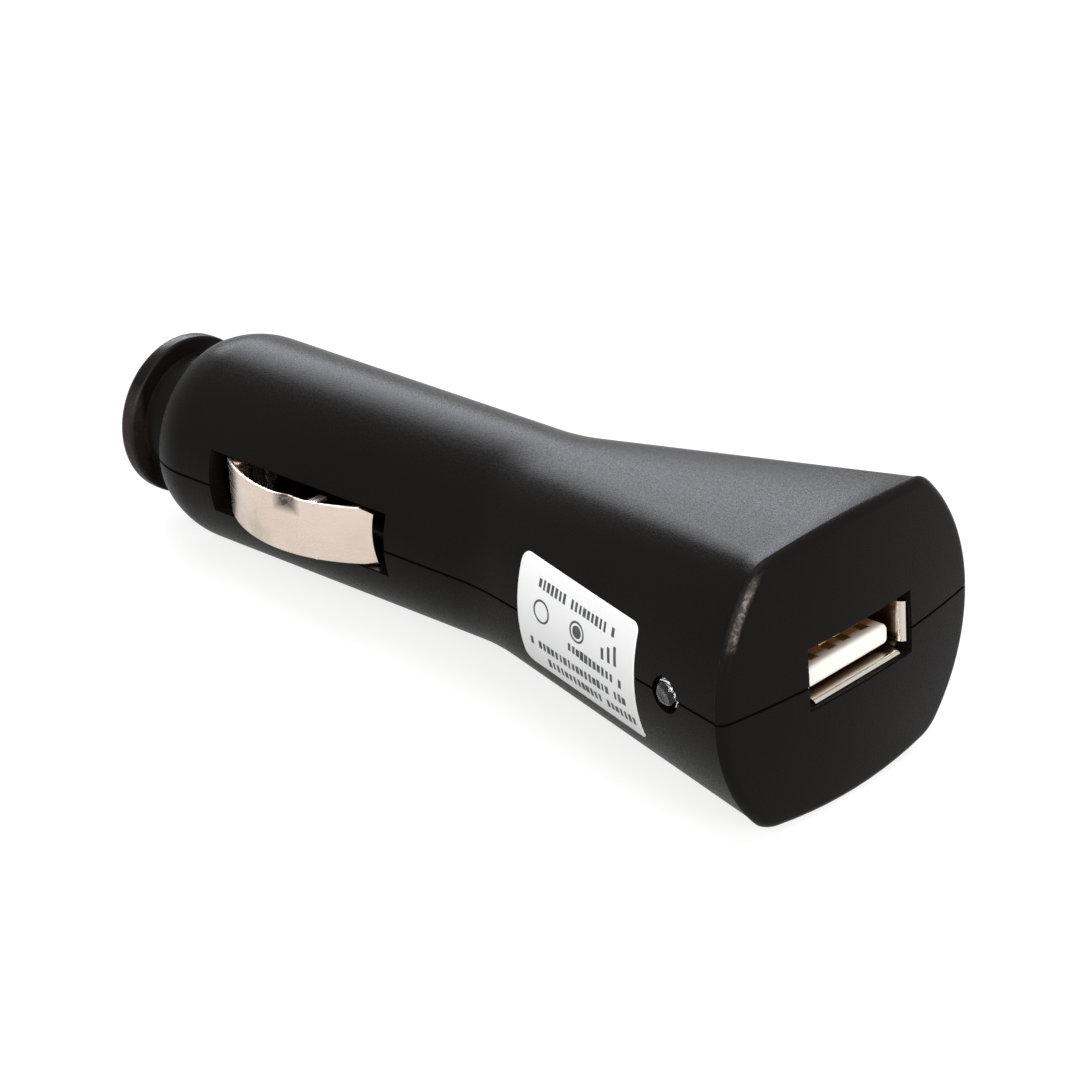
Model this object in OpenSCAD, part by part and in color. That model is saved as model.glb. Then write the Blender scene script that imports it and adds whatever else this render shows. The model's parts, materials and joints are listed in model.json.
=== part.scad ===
// Car charger plug with one port: a round barrel that goes into the car's round power socket,
// and a flared head with the port in its end. Millimetres. The plug's axis is X, with the nose
// towards -X and the port towards +X, and the two housing halves meet in the plane z = 0.
// x = 0 is where the barrel meets the flare.

/* [Barrel] */
// Diameter of the barrel
barrel_d = 21; // [20.4:0.1:22]
// Length of the barrel, from its nose edge to the flare
barrel_len = 45.1; // [44:0.5:52]
// Diameter of the barrel's edge at the nose
nose_edge_d = 18.6; // [17.4:0.2:19.4]
// Length over which the barrel rounds off to that edge
nose_round_len = 4.6; // [3:0.2:6]
// Wall of both housing halves
wall = 1.8; // [1.4:0.1:2.1]
// Thickness of the end wall that the nose cap screws into
nose_wall = 7.5; // [6.5:0.5:8]

/* [Flare] */
// Length of the flare, from the barrel to the middle of the port face
flare_len = 37.3; // [36.1:0.2:44.1]
// Width of the port face
face_w = 34.4; // [32.4:0.5:37.9]
// Height of the port face
face_h = 27.9; // [26.9:0.2:30.9]
// Radius of the arcs at the left and right of the port face
side_arc_r = 17.4; // [16.8:0.2:24]
// Radius of the arcs along the top and bottom of the port face
top_arc_r = 66; // [45:1:90]
// Radius of the port face's corners
corner_r = 4; // [2.5:0.5:7]
// Radius of the dome that closes the port face
dome_r = 85; // [60:1:140]
// Rounding of the edge round the port face
edge_r = 0.9; // [0.5:0.1:1.4]
// How much further forward the corners start to rise than the sides and the top do
corner_lead = 1.2; // [0:0.2:3]
// Half the length of the soft blend between barrel and flare
blend_len = 2.8; // [1.8:0.2:5]
// Wall behind the port face
face_wall = 1.6; // [1.2:0.1:2.2]

/* [Nose cap] */
// Diameter of the cap's rim
rim_d = 16.4; // [15.6:0.2:17.4]
// Width of the cap's rim, along the axis
rim_w = 2.1; // [1.8:0.1:3]
// Diameter of the groove behind the rim
neck_d = 12.8; // [12.4:0.2:13.4]
// Length of the groove, from the rim to the barrel
neck_len = 5.2; // [4.4:0.2:6]
// Diameter of the cap's threaded part, over the thread
thread_d = 14; // [13.7:0.1:14.4]
// Length of the threaded part
thread_len = 6.5; // [5:0.5:7]
// Clearance round the threaded part
thread_gap = 0.08; // [0.04:0.01:0.1]
// How far the boss round the pin stands out of the rim
boss_len = 1.9; // [1:0.1:2.4]
// Diameter of the boss at its front
boss_d = 9.4; // [8.6:0.2:10.4]
// Diameter of the chamber inside the cap
chamber_d = 10.4; // [9.8:0.2:10.8]
// Thickness of the cap's front wall, with its boss
cap_front = 3; // [2.4:0.2:3.6]

/* [Centre pin] */
// Diameter of the pin's shaft
pin_d = 6; // [5:0.2:6.6]
// Clearance round the pin in the cap
pin_gap = 0.05; // [0.03:0.01:0.1]
// Diameter of the flange that keeps the pin in the cap
pin_flange_d = 9.4; // [8.4:0.2:9.6]
// Thickness of that flange
pin_flange_t = 1.2; // [0.8:0.1:1.6]
// Diameter of the tail inside the spring
pin_tail_d = 3.2; // [2.6:0.1:3.4]
// Length of the tail
pin_tail_len = 3; // [2:0.2:3.6]
// Travel of the pin into the cap
pin_travel = 2.5; // [1.5:0.1:2.8]
// How far the pin still stands out of the cap when it is pressed in
pin_left = 0.6; // [0.4:0.1:1]
// Wire of the spring
spring_wire_d = 0.5; // [0.4:0.05:0.6]
// Turns of the spring
spring_turns = 5; // [4:1:6]

/* [Fuse] */
// Diameter of the fuse's glass
fuse_d = 5; // [4.6:0.1:5.2]
// Length of the fuse
fuse_len = 20; // [18:0.5:20]
// Length of each metal end of the fuse
fuse_end_len = 4.6; // [3:0.2:5.5]
// Thickness of the metal ends
fuse_end_t = 0.15; // [0.1:0.05:0.25]
// Length of the spring between the pin's flange and the fuse
spring_len = 8.2; // [7.8:0.1:9]
// Clearance round the fuse in its cradles
fuse_gap = 0.1; // [0.05:0.05:0.3]
// Diameter of the wire in the glass
fuse_wire_d = 0.3; // [0.2:0.05:0.5]

/* [Side contacts] */
// Nose end of the slot, from the flare
slot_from = 36.2; // [35.6:0.1:36.6]
// Rear end of the slot, from the flare
slot_to = 12.2; // [10:0.2:12.6]
// Upper edge of the slot, above the parting plane
slot_up = 3.55; // [3.5:0.05:3.9]
// Lower edge of the slot, below the parting plane
slot_down = 2.7; // [2.6:0.05:3]
// Clearance between the contact's edges and the slot
contact_gap = 0.15; // [0.1:0.05:0.25]
// Thickness of the contact strip
strip_t = 0.4; // [0.3:0.05:0.5]
// Radius of the contact's bow
bow_r = 17; // [15.5:0.5:20]
// How far the bow's crown stands out from the axis
crown_y = 12.7; // [12.2:0.1:13.2]
// Place of the crown, from the flare
crown_x = 24.6; // [24.2:0.2:25.4]
// Free end of the bow, from the flare
bow_end = 14.4; // [14.2:0.2:16]
// Depth of the hollow in the bow's free end
end_hollow = 0.35; // [0.2:0.05:0.6]
// Radius of the peg that the contact's eye turns on
peg_r = 0.9; // [0.8:0.05:1]
// Clearance between peg and eye
peg_gap = 0.06; // [0.03:0.01:0.1]
// Place of the peg, from the flare
peg_x = 33; // [32.6:0.1:33.2]
// Place of the peg, from the axis
peg_y = 6.5; // [6.3:0.1:6.7]
// Width of the stop tabs that are folded in from the contact's edges
tab_w = 1.1; // [0.8:0.1:1.4]
// Length of the stop tabs
tab_len = 1.7; // [1.2:0.1:2]

/* [Port] */
// Outer width of the port's metal shell
usb_w = 13.1; // [13:0.1:13.3]
// Outer height of the port's metal shell
usb_h = 5.72; // [5.7:0.02:5.76]
// Thickness of that shell
usb_t = 0.3; // [0.25:0.05:0.35]
// Depth of the port
usb_depth = 14; // [13:0.5:15]
// Height of the port's middle above the parting plane
usb_z = 0.68; // [0.4:0.02:0.9]
// How far the port's mouth lies behind the face
usb_set_back = 0.7; // [0.6:0.1:1.2]
// Length of the flared mouth
mouth_len = 0.8; // [0.5:0.1:1.2]
// How much the mouth flares at the top and bottom
mouth_flare = 0.08; // [0.04:0.02:0.1]
// How much the mouth flares at the sides
mouth_flare_side = 0.25; // [0.1:0.05:0.3]
// Clearance above and below the port in the face
port_gap = 0.12; // [0.1:0.02:0.2]
// Clearance at the sides of the port in the face
port_gap_side = 0.4; // [0.3:0.05:0.6]
// Width of the tongue in the port
tongue_w = 11.1; // [10.8:0.1:11.4]
// Thickness of the tongue
tongue_t = 1.84; // [1.7:0.02:1.95]
// Clearance under the tongue
tongue_drop = 0.72; // [0.6:0.02:0.8]
// How far the tongue's tip lies behind the mouth
tongue_back = 1; // [0.8:0.1:1.6]
// Thickness of the block behind the tongue
tongue_base = 2.6; // [2:0.2:3.2]
// Width of each contact in the port
contact_w = 1; // [0.8:0.1:1.2]
// Thickness of each contact in the port
contact_t = 0.25; // [0.2:0.05:0.3]
// Places of the contacts, from the middle of the port
contact_y = [-3.5, -1, 1, 3.5];

/* [Circuit board] */
// Thickness of the board
board_t = 1.2; // [1:0.1:1.6]
// Width of the board in the barrel
board_w_front = 10; // [8:0.5:11]
// Width of the board in the flare
board_w_rear = 16.6; // [16:0.2:17]
// Front end of the board, from the flare
board_front = 17; // [16.4:0.2:18]
// Rear end of the board, behind the start of the flare
board_rear = 34.4; // [33.6:0.2:34.6]
// Diameter of the posts that carry the board
post_d = 4; // [3.4:0.2:4.4]
// Diameter of the spigots on the posts
spigot_d = 1.9; // [1.6:0.1:2.2]
// Clearance round each spigot in the board
spigot_gap = 0.1; // [0.05:0.05:0.2]

/* [Indicator light] */
// Diameter of the light
led_d = 3; // [2.8:0.1:3.1]
// Clearance round the light in its hole
led_gap = 0.2; // [0.1:0.05:0.25]
// Place of the light, behind the start of the flare
led_x = 27.8; // [26.6:0.2:28.4]
// How far the light's tip stands out of the flare's side
led_proud = 0.3; // [0.1:0.1:0.6]
// Length of the light, with its flange
led_len = 5.3; // [5:0.1:5.6]
// Diameter of the light's flange
led_flange_d = 3.8; // [3.6:0.1:4]
// Thickness of the light's flange
led_flange_t = 1; // [0.8:0.1:1.2]

/* [Label] */
// Thickness of the label
label_t = 0.12; // [0.08:0.02:0.2]
// Front edge of the label, behind the start of the flare
label_from = 6.4; // [5.8:0.2:8.6]
// Rear edge of the label, behind the start of the flare
label_to = 23.7; // [22.2:0.25:25.2]
// Upper edge of the label, above the parting plane
label_up = 5.6; // [4.1:0.25:6.1]
// Lower edge of the label, below the parting plane
label_down = 6.5; // [5.5:0.2:7.9]
// Rounding of the label's corners
label_r = 1.6; // [0.5:0.1:2]

/* [Hidden] */

// Sides of a full turn on the housing, and on smaller round pieces
ring_n = 58;
$fn = 64;
// Overlap that lets one cut run clear of a face
eps = 0.01;

barrel_r = barrel_d / 2;
bore_r = thread_d / 2 + thread_gap;
inner_front = -barrel_len + nose_wall;
inner_r = barrel_r - wall;

// Colours
black = "#1c1a19";
nickel = "#d8cfc4";
brass = "#c9a227";
tin = "#b9bcc0";

// Turns what is drawn along Z to lie along X
module along_x(x) {
    translate([x, 0, 0])
        rotate([0, 90, 0])
            children();
}

// Draws its children on the near side (-Y), or mirrored on the far side
module on_side(near) {
    if (near)
        children();
    else
        mirror([0, 1, 0])
            children();
}

// Round rod or disc on the plug's axis, between two places
module rod(from, to, d) {
    along_x(from)
        cylinder(d = d, h = to - from);
}

// Box between two corners
module box(low, high) {
    translate(low)
        cube(high - low);
}

// Rectangle with round corners, centred on the origin
module round_rect(w, h, r) {
    square([w - 2 * r, h], center = true);
    square([w, h - 2 * r], center = true);
    for (sx = [-1, 1])
        for (sy = [-1, 1])
            translate([sx * (w / 2 - r), sy * (h / 2 - r)])
                circle(r = r, $fn = 32);
}

// Outline of the port face: arcs at the sides, flatter arcs at the top and bottom, round corners
side_c = face_w / 2 - side_arc_r;
top_c = face_h / 2 - top_arc_r;
side_reach = side_arc_r - corner_r;
top_reach = top_arc_r - corner_r;
centre_gap = norm([side_c, top_c]);
centre_way = [-side_c, top_c] / centre_gap;
corner_along = (side_reach ^ 2 - top_reach ^ 2 + centre_gap ^ 2) / (2 * centre_gap);
corner_off = sqrt(side_reach ^ 2 - corner_along ^ 2);
corner_c = [side_c, 0] + centre_way * corner_along + [-centre_way.y, centre_way.x] * corner_off;
side_end_a = atan2(corner_c.y, corner_c.x - side_c);
top_end_a = atan2(corner_c.y - top_c, corner_c.x);

// Point of a quarter of that outline whose outward normal stands at angle a, grown by g
function quarter_pt(a, g) =
    a < side_end_a ? [side_c, 0] + (side_arc_r + g) * [cos(a), sin(a)]
    : a < top_end_a ? corner_c + (corner_r + g) * [cos(a), sin(a)]
    : [0, top_c] + (top_arc_r + g) * [cos(a), sin(a)];
// The same point on the whole outline
function outline_pt(a, g) =
    let (
        y_sign = cos(a) < 0 ? -1 : 1,
        z_sign = sin(a) < 0 ? -1 : 1,
        p = quarter_pt(atan2(abs(sin(a)), abs(cos(a))), g)
    )
    [y_sign * p.x, z_sign * p.y];

// Place along the axis of the dome that closes the flare
function dome_x(p, end) = end - (p.x ^ 2 + p.y ^ 2) / (2 * dome_r);
// Grows from nothing as a straight line does, with a soft start of blend_len each side of zero
function soft(s) = s < -blend_len ? 0 : s < blend_len ? (s + blend_len) ^ 2 / (4 * blend_len) : s;
// Where the flare starts at angle a
function start_x(a) = -corner_lead * sin(2 * a) ^ 2;
// Point of the flare at angle a and place x, between the barrel's circle and the outline
function flare_pt(a, x, g, end) =
    let (
        rim = outline_pt(a, g),
        reach = dome_x(rim, end) - start_x(a),
        m = soft(x - start_x(a)) / reach,
        p = (barrel_r + g) * (1 - m) * [cos(a), sin(a)] + m * rim
    )
    [x, p.x, p.y];
// Ring of the flare, from the soft start to the face's rim
start_rings = 6;
side_rings = 3;
function flare_ring(i, g, end, round_r) = [
    for (k = [0:ring_n - 1])
        let (
            a = 360 * k / ring_n,
            first = -corner_lead - blend_len,
            last = dome_x(outline_pt(a, g), end) - round_r,
            x = i <= start_rings
                ? first + i * (blend_len - first) / start_rings
                : blend_len + (i - start_rings) * (last - blend_len) / side_rings
        )
        flare_pt(a, x, g, end)
];
// Ring on the rounded edge of the face, turned by angle t from the side to the face
function edge_ring(t, g, end, round_r) = [
    for (k = [0:ring_n - 1])
        let (
            a = 360 * k / ring_n,
            p = outline_pt(a, g - round_r * (1 - cos(t)))
        )
        [dome_x(p, end) - round_r * (1 - sin(t)), p.x, p.y]
];
// Ring on the face, at a share s of the way out from the middle
function face_ring(s, g, end, round_r) = [
    for (k = [0:ring_n - 1])
        let (p = s * outline_pt(360 * k / ring_n, g - round_r))
        [dome_x(p, end), p.x, p.y]
];

// Ring of the barrel's round nose end, turned by angle t from the full diameter towards the edge
nose_drop = barrel_r - nose_edge_d / 2;
nose_r = (nose_round_len ^ 2 + nose_drop ^ 2) / (2 * nose_drop);
nose_a = asin(nose_round_len / nose_r);
nose_steps = 7;
function circle_ring(x, r) = [
    for (k = [0:ring_n - 1])
        let (a = 360 * k / ring_n)
        [x, r * cos(a), r * sin(a)]
];
function nose_ring(t) =
    circle_ring(-barrel_len + nose_round_len - nose_r * sin(t), barrel_r - nose_r * (1 - cos(t)));

// Barrel and flare as one solid, grown by g, from a front place to the middle of a domed end.
// A round_r above zero rounds the nose end and the edge of the face.
module plug_form(g, front, end, round_r) {
    edge_steps = round_r > 0 ? 4 : 0;
    rings = concat(
        round_r > 0 ? [for (j = [nose_steps:-1:0]) nose_ring(nose_a * j / nose_steps)]
            : [circle_ring(front, barrel_r + g)],
        [for (i = [0:start_rings + side_rings]) flare_ring(i, g, end, round_r)],
        [for (j = [1:1:edge_steps]) edge_ring(90 * j / edge_steps, g, end, round_r)],
        [for (s = [0.7, 0.35]) face_ring(s, g, end, round_r)]
    );
    count = len(rings);
    points = concat([for (r = rings) each r], [[end, 0, 0]]);
    sides = [
        for (i = [0:count - 2])
            for (k = [0:ring_n - 1])
                let (
                    n = (k + 1) % ring_n,
                    a = i * ring_n + k,
                    b = i * ring_n + n
                )
                each [[b + ring_n, b, a], [a + ring_n, b + ring_n, a]]
    ];
    face = [
        for (k = [0:ring_n - 1])
            [count * ring_n, (count - 1) * ring_n + (k + 1) % ring_n, (count - 1) * ring_n + k]
    ];
    nose = [[for (k = [0:ring_n - 1]) k]];
    polyhedron(points = points, faces = concat(nose, sides, face), convexity = 4);
}

module outer_form() {
    plug_form(0, -barrel_len, flare_len, edge_r);
}

// Room inside both halves
module inner_room() {
    plug_form(-wall, inner_front, flare_len - face_wall, 0);
}

// Circuit board's place: the port hangs under it
board_low = usb_z + usb_h / 2;
board_top = board_low + board_t;
post_y = 5.6;
post_places = [[-11.5, 0], [9.5, post_y], [9.5, -post_y], [19.6, post_y], [19.6, -post_y]];
// How far leads stand up out of the board
lead_end = 0.6;

// Nose cap and what it holds
rim_back = -barrel_len - neck_len;
rim_front = rim_back - rim_w;
cap_face = rim_front - boss_len;
chamber_front = cap_face + cap_front;
pin_back = chamber_front + pin_flange_t;
fuse_front = pin_back + spring_len;
fuse_rear = fuse_front + fuse_len;
fuse_end_d = fuse_d + 2 * fuse_end_t;
cradle_d = fuse_end_d + 2 * fuse_gap;

// Fuse contact behind the fuse
cup_t = 0.6;
cup_depth = 2;
cup_d = cradle_d + 2 * cup_t;
cup_back = fuse_rear + cup_t;
tail_len = 2.6;
tail_d = 1.6;

// Cradles across the barrel that hold the fuse and its contact
rib_t = 1.4;
rib_w = 7.2;
rib_places = [inner_front + 0.6, fuse_front + fuse_len / 2 - rib_t / 2, cup_back + 0.1];

// Ribs under the port
port_rib_places = [24.6, 31.6];
port_rib_t = 1.6;

// Boss that holds the indicator light
led_side = flare_pt(0, led_x, 0, flare_len).y;
led_tip_y = led_side + led_proud;
led_back = led_tip_y - led_len;
led_pitch = 2.54;
led_boss_d = led_flange_d + 2.4;

// What stands inside the housing and is moulded with it
module inner_posts() {
    for (p = post_places)
        translate([p.x, p.y, board_top])
            cylinder(d = post_d, h = face_h);
    for (p = post_places)
        translate([p.x, p.y, board_low - 0.6])
            cylinder(d = spigot_d, h = face_h);
    for (x = rib_places)
        box([x, -rib_w / 2, -barrel_r], [x + rib_t, rib_w / 2, barrel_r]);
    for (x = port_rib_places)
        box([x, -usb_w / 2 - 2, -face_h / 2], [x + port_rib_t, usb_w / 2 + 2, usb_z - usb_h / 2]);
    for (side = [-1, 1])
        translate([-peg_x, side * peg_y, -barrel_r])
            cylinder(r = peg_r, h = 2 * barrel_r, $fn = 48);
    translate([led_x, -led_back - led_flange_t, 0])
        rotate([90, 0, 0])
            cylinder(d = led_boss_d, h = face_w / 2);
}

// What is cut out of both halves and their posts
module housing_cuts() {
    rod(-barrel_len - 1, inner_front + eps, 2 * bore_r);
    rod(inner_front, fuse_rear + eps, cradle_d);
    rod(fuse_rear - cup_depth - fuse_gap, cup_back + 0.1, cup_d + 2 * fuse_gap);
    rod(cup_back, cup_back + tail_len + 1, tail_d + 2 * fuse_gap);
    for (near = [true, false])
        on_side(near)
            box([-slot_from, -crown_y, -slot_down], [-slot_to, -inner_r + 1.6, slot_up]);
    along_x(flare_len - 2 * face_wall - 1)
        linear_extrude(2 * face_wall + 2)
            translate([-usb_z, 0])
                square([usb_h + 2 * port_gap, usb_w + 2 * port_gap_side], center = true);
    translate([led_x, 0, 0])
        rotate([90, 0, 0])
            cylinder(d = led_d + 2 * led_gap, h = face_w);
}

module housing_half(up) {
    z0 = up ? 0 : -face_h;
    difference() {
        intersection() {
            outer_form();
            box([-barrel_len - 1, -face_w, z0], [flare_len + 1, face_w, z0 + face_h]);
        }
        difference() {
            inner_room();
            inner_posts();
        }
        housing_cuts();
    }
}

module upper_housing() {
    color(black)
        housing_half(true);
}

module lower_housing() {
    color(black)
        housing_half(false);
}

// Thin skin on the near side of the flare, across the parting plane
module label() {
    color("white")
        intersection() {
            difference() {
                plug_form(label_t, -barrel_len, flare_len + label_t, 0);
                outer_form();
            }
            translate([(label_from + label_to) / 2, 0, (label_up - label_down) / 2])
                rotate([90, 0, 0])
                    linear_extrude(face_w)
                        round_rect(label_to - label_from, label_up + label_down, label_r);
        }
}

// Cap: a rim, a groove behind it, a threaded part and a chamber for the pin's flange and spring
module nose_cap() {
    rim_round = rim_w * 0.45;
    color(black)
        difference() {
            rotate([0, 90, 0])
                rotate_extrude($fn = 96)
                    polygon(concat(
                        [[0, cap_face], [boss_d / 2 - 0.5, cap_face], [boss_d / 2, cap_face + 0.5],
                            [boss_d / 2 + 0.4, rim_front], [rim_d / 2 - rim_round, rim_front]],
                        [for (a = [15:15:90])
                            [rim_d / 2 - rim_round * (1 - sin(a)), rim_front + rim_round * (1 - cos(a))]],
                        [[rim_d / 2, rim_back - 0.35], [rim_d / 2 - 0.35, rim_back],
                            [neck_d / 2, rim_back], [neck_d / 2, -barrel_len],
                            [thread_d / 2 - 0.4, -barrel_len], [thread_d / 2, -barrel_len + 0.4],
                            [thread_d / 2, -barrel_len + thread_len - 0.4],
                            [thread_d / 2 - 0.4, -barrel_len + thread_len], [0, -barrel_len + thread_len]]
                    ));
            rod(chamber_front, 0, chamber_d);
            rod(cap_face - 1, chamber_front + 1, pin_d + 2 * pin_gap);
        }
}

// Sprung contact in the nose: a shaft with a round tip, a flange and a tail
module centre_pin() {
    tip = cap_face - pin_left - pin_travel;
    tip_r = pin_d / 2 - 0.4;
    color(nickel)
        rotate([0, 90, 0])
            rotate_extrude()
                polygon(concat(
                    [[0, tip]],
                    [for (a = [0:15:90])
                        [pin_d / 2 - tip_r + tip_r * sin(a), tip + tip_r * 0.8 * (1 - cos(a))]],
                    [[pin_d / 2, chamber_front], [pin_flange_d / 2, chamber_front],
                        [pin_flange_d / 2, pin_back], [pin_tail_d / 2, pin_back],
                        [pin_tail_d / 2, pin_back + pin_tail_len - 0.4],
                        [pin_tail_d / 2 - 0.4, pin_back + pin_tail_len], [0, pin_back + pin_tail_len]]
                ));
}

// Coil between the pin's flange and the fuse, swept along a helix with flat ends
spring_r = pin_tail_d / 2 + 0.15 + spring_wire_d / 2;
spring_steps = 12;
wire_sides = 8;
function spring_t(i) = i / (spring_turns * spring_steps);
// Height of the helix: the first and last turn lie flat against what they press on
function spring_rise(t) =
    let (free = spring_len - spring_wire_d, flat = 1 / spring_turns * 0.75)
    free * min(1, max(0, (t - flat) / (1 - 2 * flat)));
module pin_spring() {
    last = spring_turns * spring_steps;
    points = [
        for (i = [0:last])
            let (
                a = 360 * i / spring_steps,
                x = pin_back + spring_wire_d / 2 + spring_rise(spring_t(i))
            )
            for (k = [0:wire_sides - 1])
                let (
                    b = 360 * k / wire_sides,
                    r = spring_r + spring_wire_d / 2 * cos(b)
                )
                [x + spring_wire_d / 2 * sin(b), r * cos(a), r * sin(a)]
    ];
    sides = [
        for (i = [0:last - 1])
            for (k = [0:wire_sides - 1])
                let (
                    n = (k + 1) % wire_sides,
                    a = i * wire_sides + k,
                    b = i * wire_sides + n
                )
                each [[a, b, b + wire_sides], [a, b + wire_sides, a + wire_sides]]
    ];
    front = [for (k = [wire_sides - 1:-1:0]) k];
    back = [for (k = [0:wire_sides - 1]) last * wire_sides + k];
    color(tin)
        polyhedron(points = points, faces = concat([front], sides, [back]), convexity = 10);
}

module fuse_glass() {
    color("lightblue", 0.5)
        difference() {
            rod(fuse_front + fuse_end_t, fuse_rear - fuse_end_t, fuse_d);
            rod(fuse_front, fuse_rear, fuse_d - 1.4);
        }
}

module fuse_end(from, to, inner_from, inner_to) {
    color(tin)
        difference() {
            rod(from, to, fuse_end_d);
            rod(inner_from, inner_to, fuse_d);
        }
}

module fuse_end_front() {
    fuse_end(fuse_front, fuse_front + fuse_end_len, fuse_front + fuse_end_t, fuse_front + fuse_end_len + 1);
}

module fuse_end_rear() {
    fuse_end(fuse_rear - fuse_end_len, fuse_rear, fuse_rear - fuse_end_len - 1, fuse_rear - fuse_end_t);
}

module fuse_wire() {
    color(tin)
        rod(fuse_front + fuse_end_t, fuse_rear - fuse_end_t, fuse_wire_d);
}

// Cup over the fuse's rear end, with a tail through the last cradle
module fuse_contact() {
    color(brass) {
        difference() {
            rod(fuse_rear - cup_depth, cup_back, cup_d);
            rod(fuse_rear - cup_depth - 1, fuse_rear, fuse_end_d + fuse_gap);
        }
        rod(cup_back - eps, cup_back + tail_len, tail_d);
    }
}

// Wire from the fuse contact's tail up to the board
wire_d = 1.3;
wire_bend = 1.6;
module positive_wire() {
    start = cup_back + tail_len;
    rise_x = -board_front + 1.6;
    color("firebrick") {
        rod(start, rise_x - wire_bend, wire_d);
        translate([rise_x - wire_bend, 0, wire_bend])
            rotate([90, 90, 0])
                rotate_extrude(angle = 90)
                    translate([wire_bend, 0])
                        circle(d = wire_d, $fn = 24);
        translate([rise_x, 0, wire_bend])
            cylinder(d = wire_d, h = board_low - wire_bend, $fn = 24);
    }
}

// Side contact, seen from above: an eye round its peg, a leg out through the slot, and a bow
eye_r = peg_r + peg_gap;
bow_c = [-crown_x, -crown_y + bow_r];
leg_x = -peg_x - eye_r - strip_t;
leg_y = bow_c.y - sqrt(bow_r ^ 2 - (leg_x - bow_c.x) ^ 2);
contact_low = -slot_down + contact_gap;
contact_high = slot_up - contact_gap;
module side_contact_outline() {
    translate([-peg_x, -peg_y])
        difference() {
            circle(r = eye_r + strip_t, $fn = 48);
            circle(r = eye_r, $fn = 48);
            polygon([[0, 0], [3, -1.2], [3, -4], [-eye_r + 0.2, -4]]);
        }
    leg_end = leg_y + strip_t / 2;
    polygon([[leg_x, -peg_y], [leg_x + strip_t, -peg_y], [leg_x + strip_t, leg_end], [leg_x, leg_end]]);
    intersection() {
        translate(bow_c)
            difference() {
                circle(r = bow_r, $fn = 120);
                circle(r = bow_r - strip_t, $fn = 120);
            }
        translate([leg_x, -crown_y - 1])
            square([-bow_end - leg_x, crown_y]);
    }
}

// Tab folded in from an edge of the bow, which stops the contact inside the slot
module stop_tab(x) {
    y = bow_c.y - sqrt(bow_r ^ 2 - (x - bow_c.x) ^ 2);
    for (z = [contact_low, contact_high - strip_t])
        box([x, y + strip_t / 2, z], [x + tab_w, y + strip_t + tab_len, z + strip_t]);
}

module side_contact(near) {
    mid = (contact_high + contact_low) / 2;
    half = (contact_high - contact_low) / 2;
    hollow_r = (half ^ 2 + end_hollow ^ 2) / (2 * end_hollow);
    color(nickel)
        on_side(near)
            difference() {
                union() {
                    translate([0, 0, contact_low])
                        linear_extrude(contact_high - contact_low)
                            side_contact_outline();
                    stop_tab(leg_x + 1.2);
                    stop_tab(-slot_to - 8.6);
                }
                translate([-bow_end + hollow_r - end_hollow, 0, mid])
                    rotate([90, 0, 0])
                        cylinder(r = hollow_r, h = 2 * crown_y, $fn = 120);
                translate([-bow_end - 1.3, -crown_y - 1, contact_high])
                    rotate([0, 30, 0])
                        cube([3, crown_y, 2]);
            }
}

module side_contact_near() {
    side_contact(true);
}

module side_contact_far() {
    side_contact(false);
}

// Wire from beside a side contact's eye to the board, round the inside of the barrel
ground_y = peg_y - eye_r - strip_t - 0.7;
module ground_wire(near) {
    from_x = -peg_x + 1;
    rise_x = -board_front + 1.6;
    z = contact_low;
    color("#2b2b2b")
        on_side(near) {
            translate([0, -ground_y, z])
                rod(from_x, rise_x - wire_bend, wire_d);
            translate([rise_x - wire_bend, -ground_y, z + wire_bend])
                rotate([90, 90, 0])
                    rotate_extrude(angle = 90)
                        translate([wire_bend, 0])
                            circle(d = wire_d, $fn = 24);
            translate([rise_x, -ground_y, z + wire_bend])
                cylinder(d = wire_d, h = board_low - z - wire_bend, $fn = 24);
        }
}

module ground_wire_near() {
    ground_wire(true);
}

module ground_wire_far() {
    ground_wire(false);
}

// Board above the port, narrow in the barrel and wide in the flare
module circuit_board() {
    widen_from = 1;
    widen_to = 9;
    color("darkgreen")
        difference() {
            translate([0, 0, board_low])
                linear_extrude(board_t)
                    polygon([[-board_front, -board_w_front / 2], [widen_from, -board_w_front / 2],
                        [widen_to, -board_w_rear / 2], [board_rear, -board_w_rear / 2],
                        [board_rear, board_w_rear / 2], [widen_to, board_w_rear / 2],
                        [widen_from, board_w_front / 2], [-board_front, board_w_front / 2]]);
            for (p = post_places)
                translate([p.x, p.y, board_low - 1])
                    cylinder(d = spigot_d + 2 * spigot_gap, h = board_t + 2);
            for (y = contact_y)
                translate([usb_leg_x, y, board_low - 1])
                    cylinder(d = contact_w + 0.3, h = board_t + 2, $fn = 24);
            for (s = [-1, 1])
                translate([led_x + s * led_pitch / 2, -lead_y, board_low - 1])
                    cylinder(d = lead_hole_d, h = board_t + 2, $fn = 24);
        }
}

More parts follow.
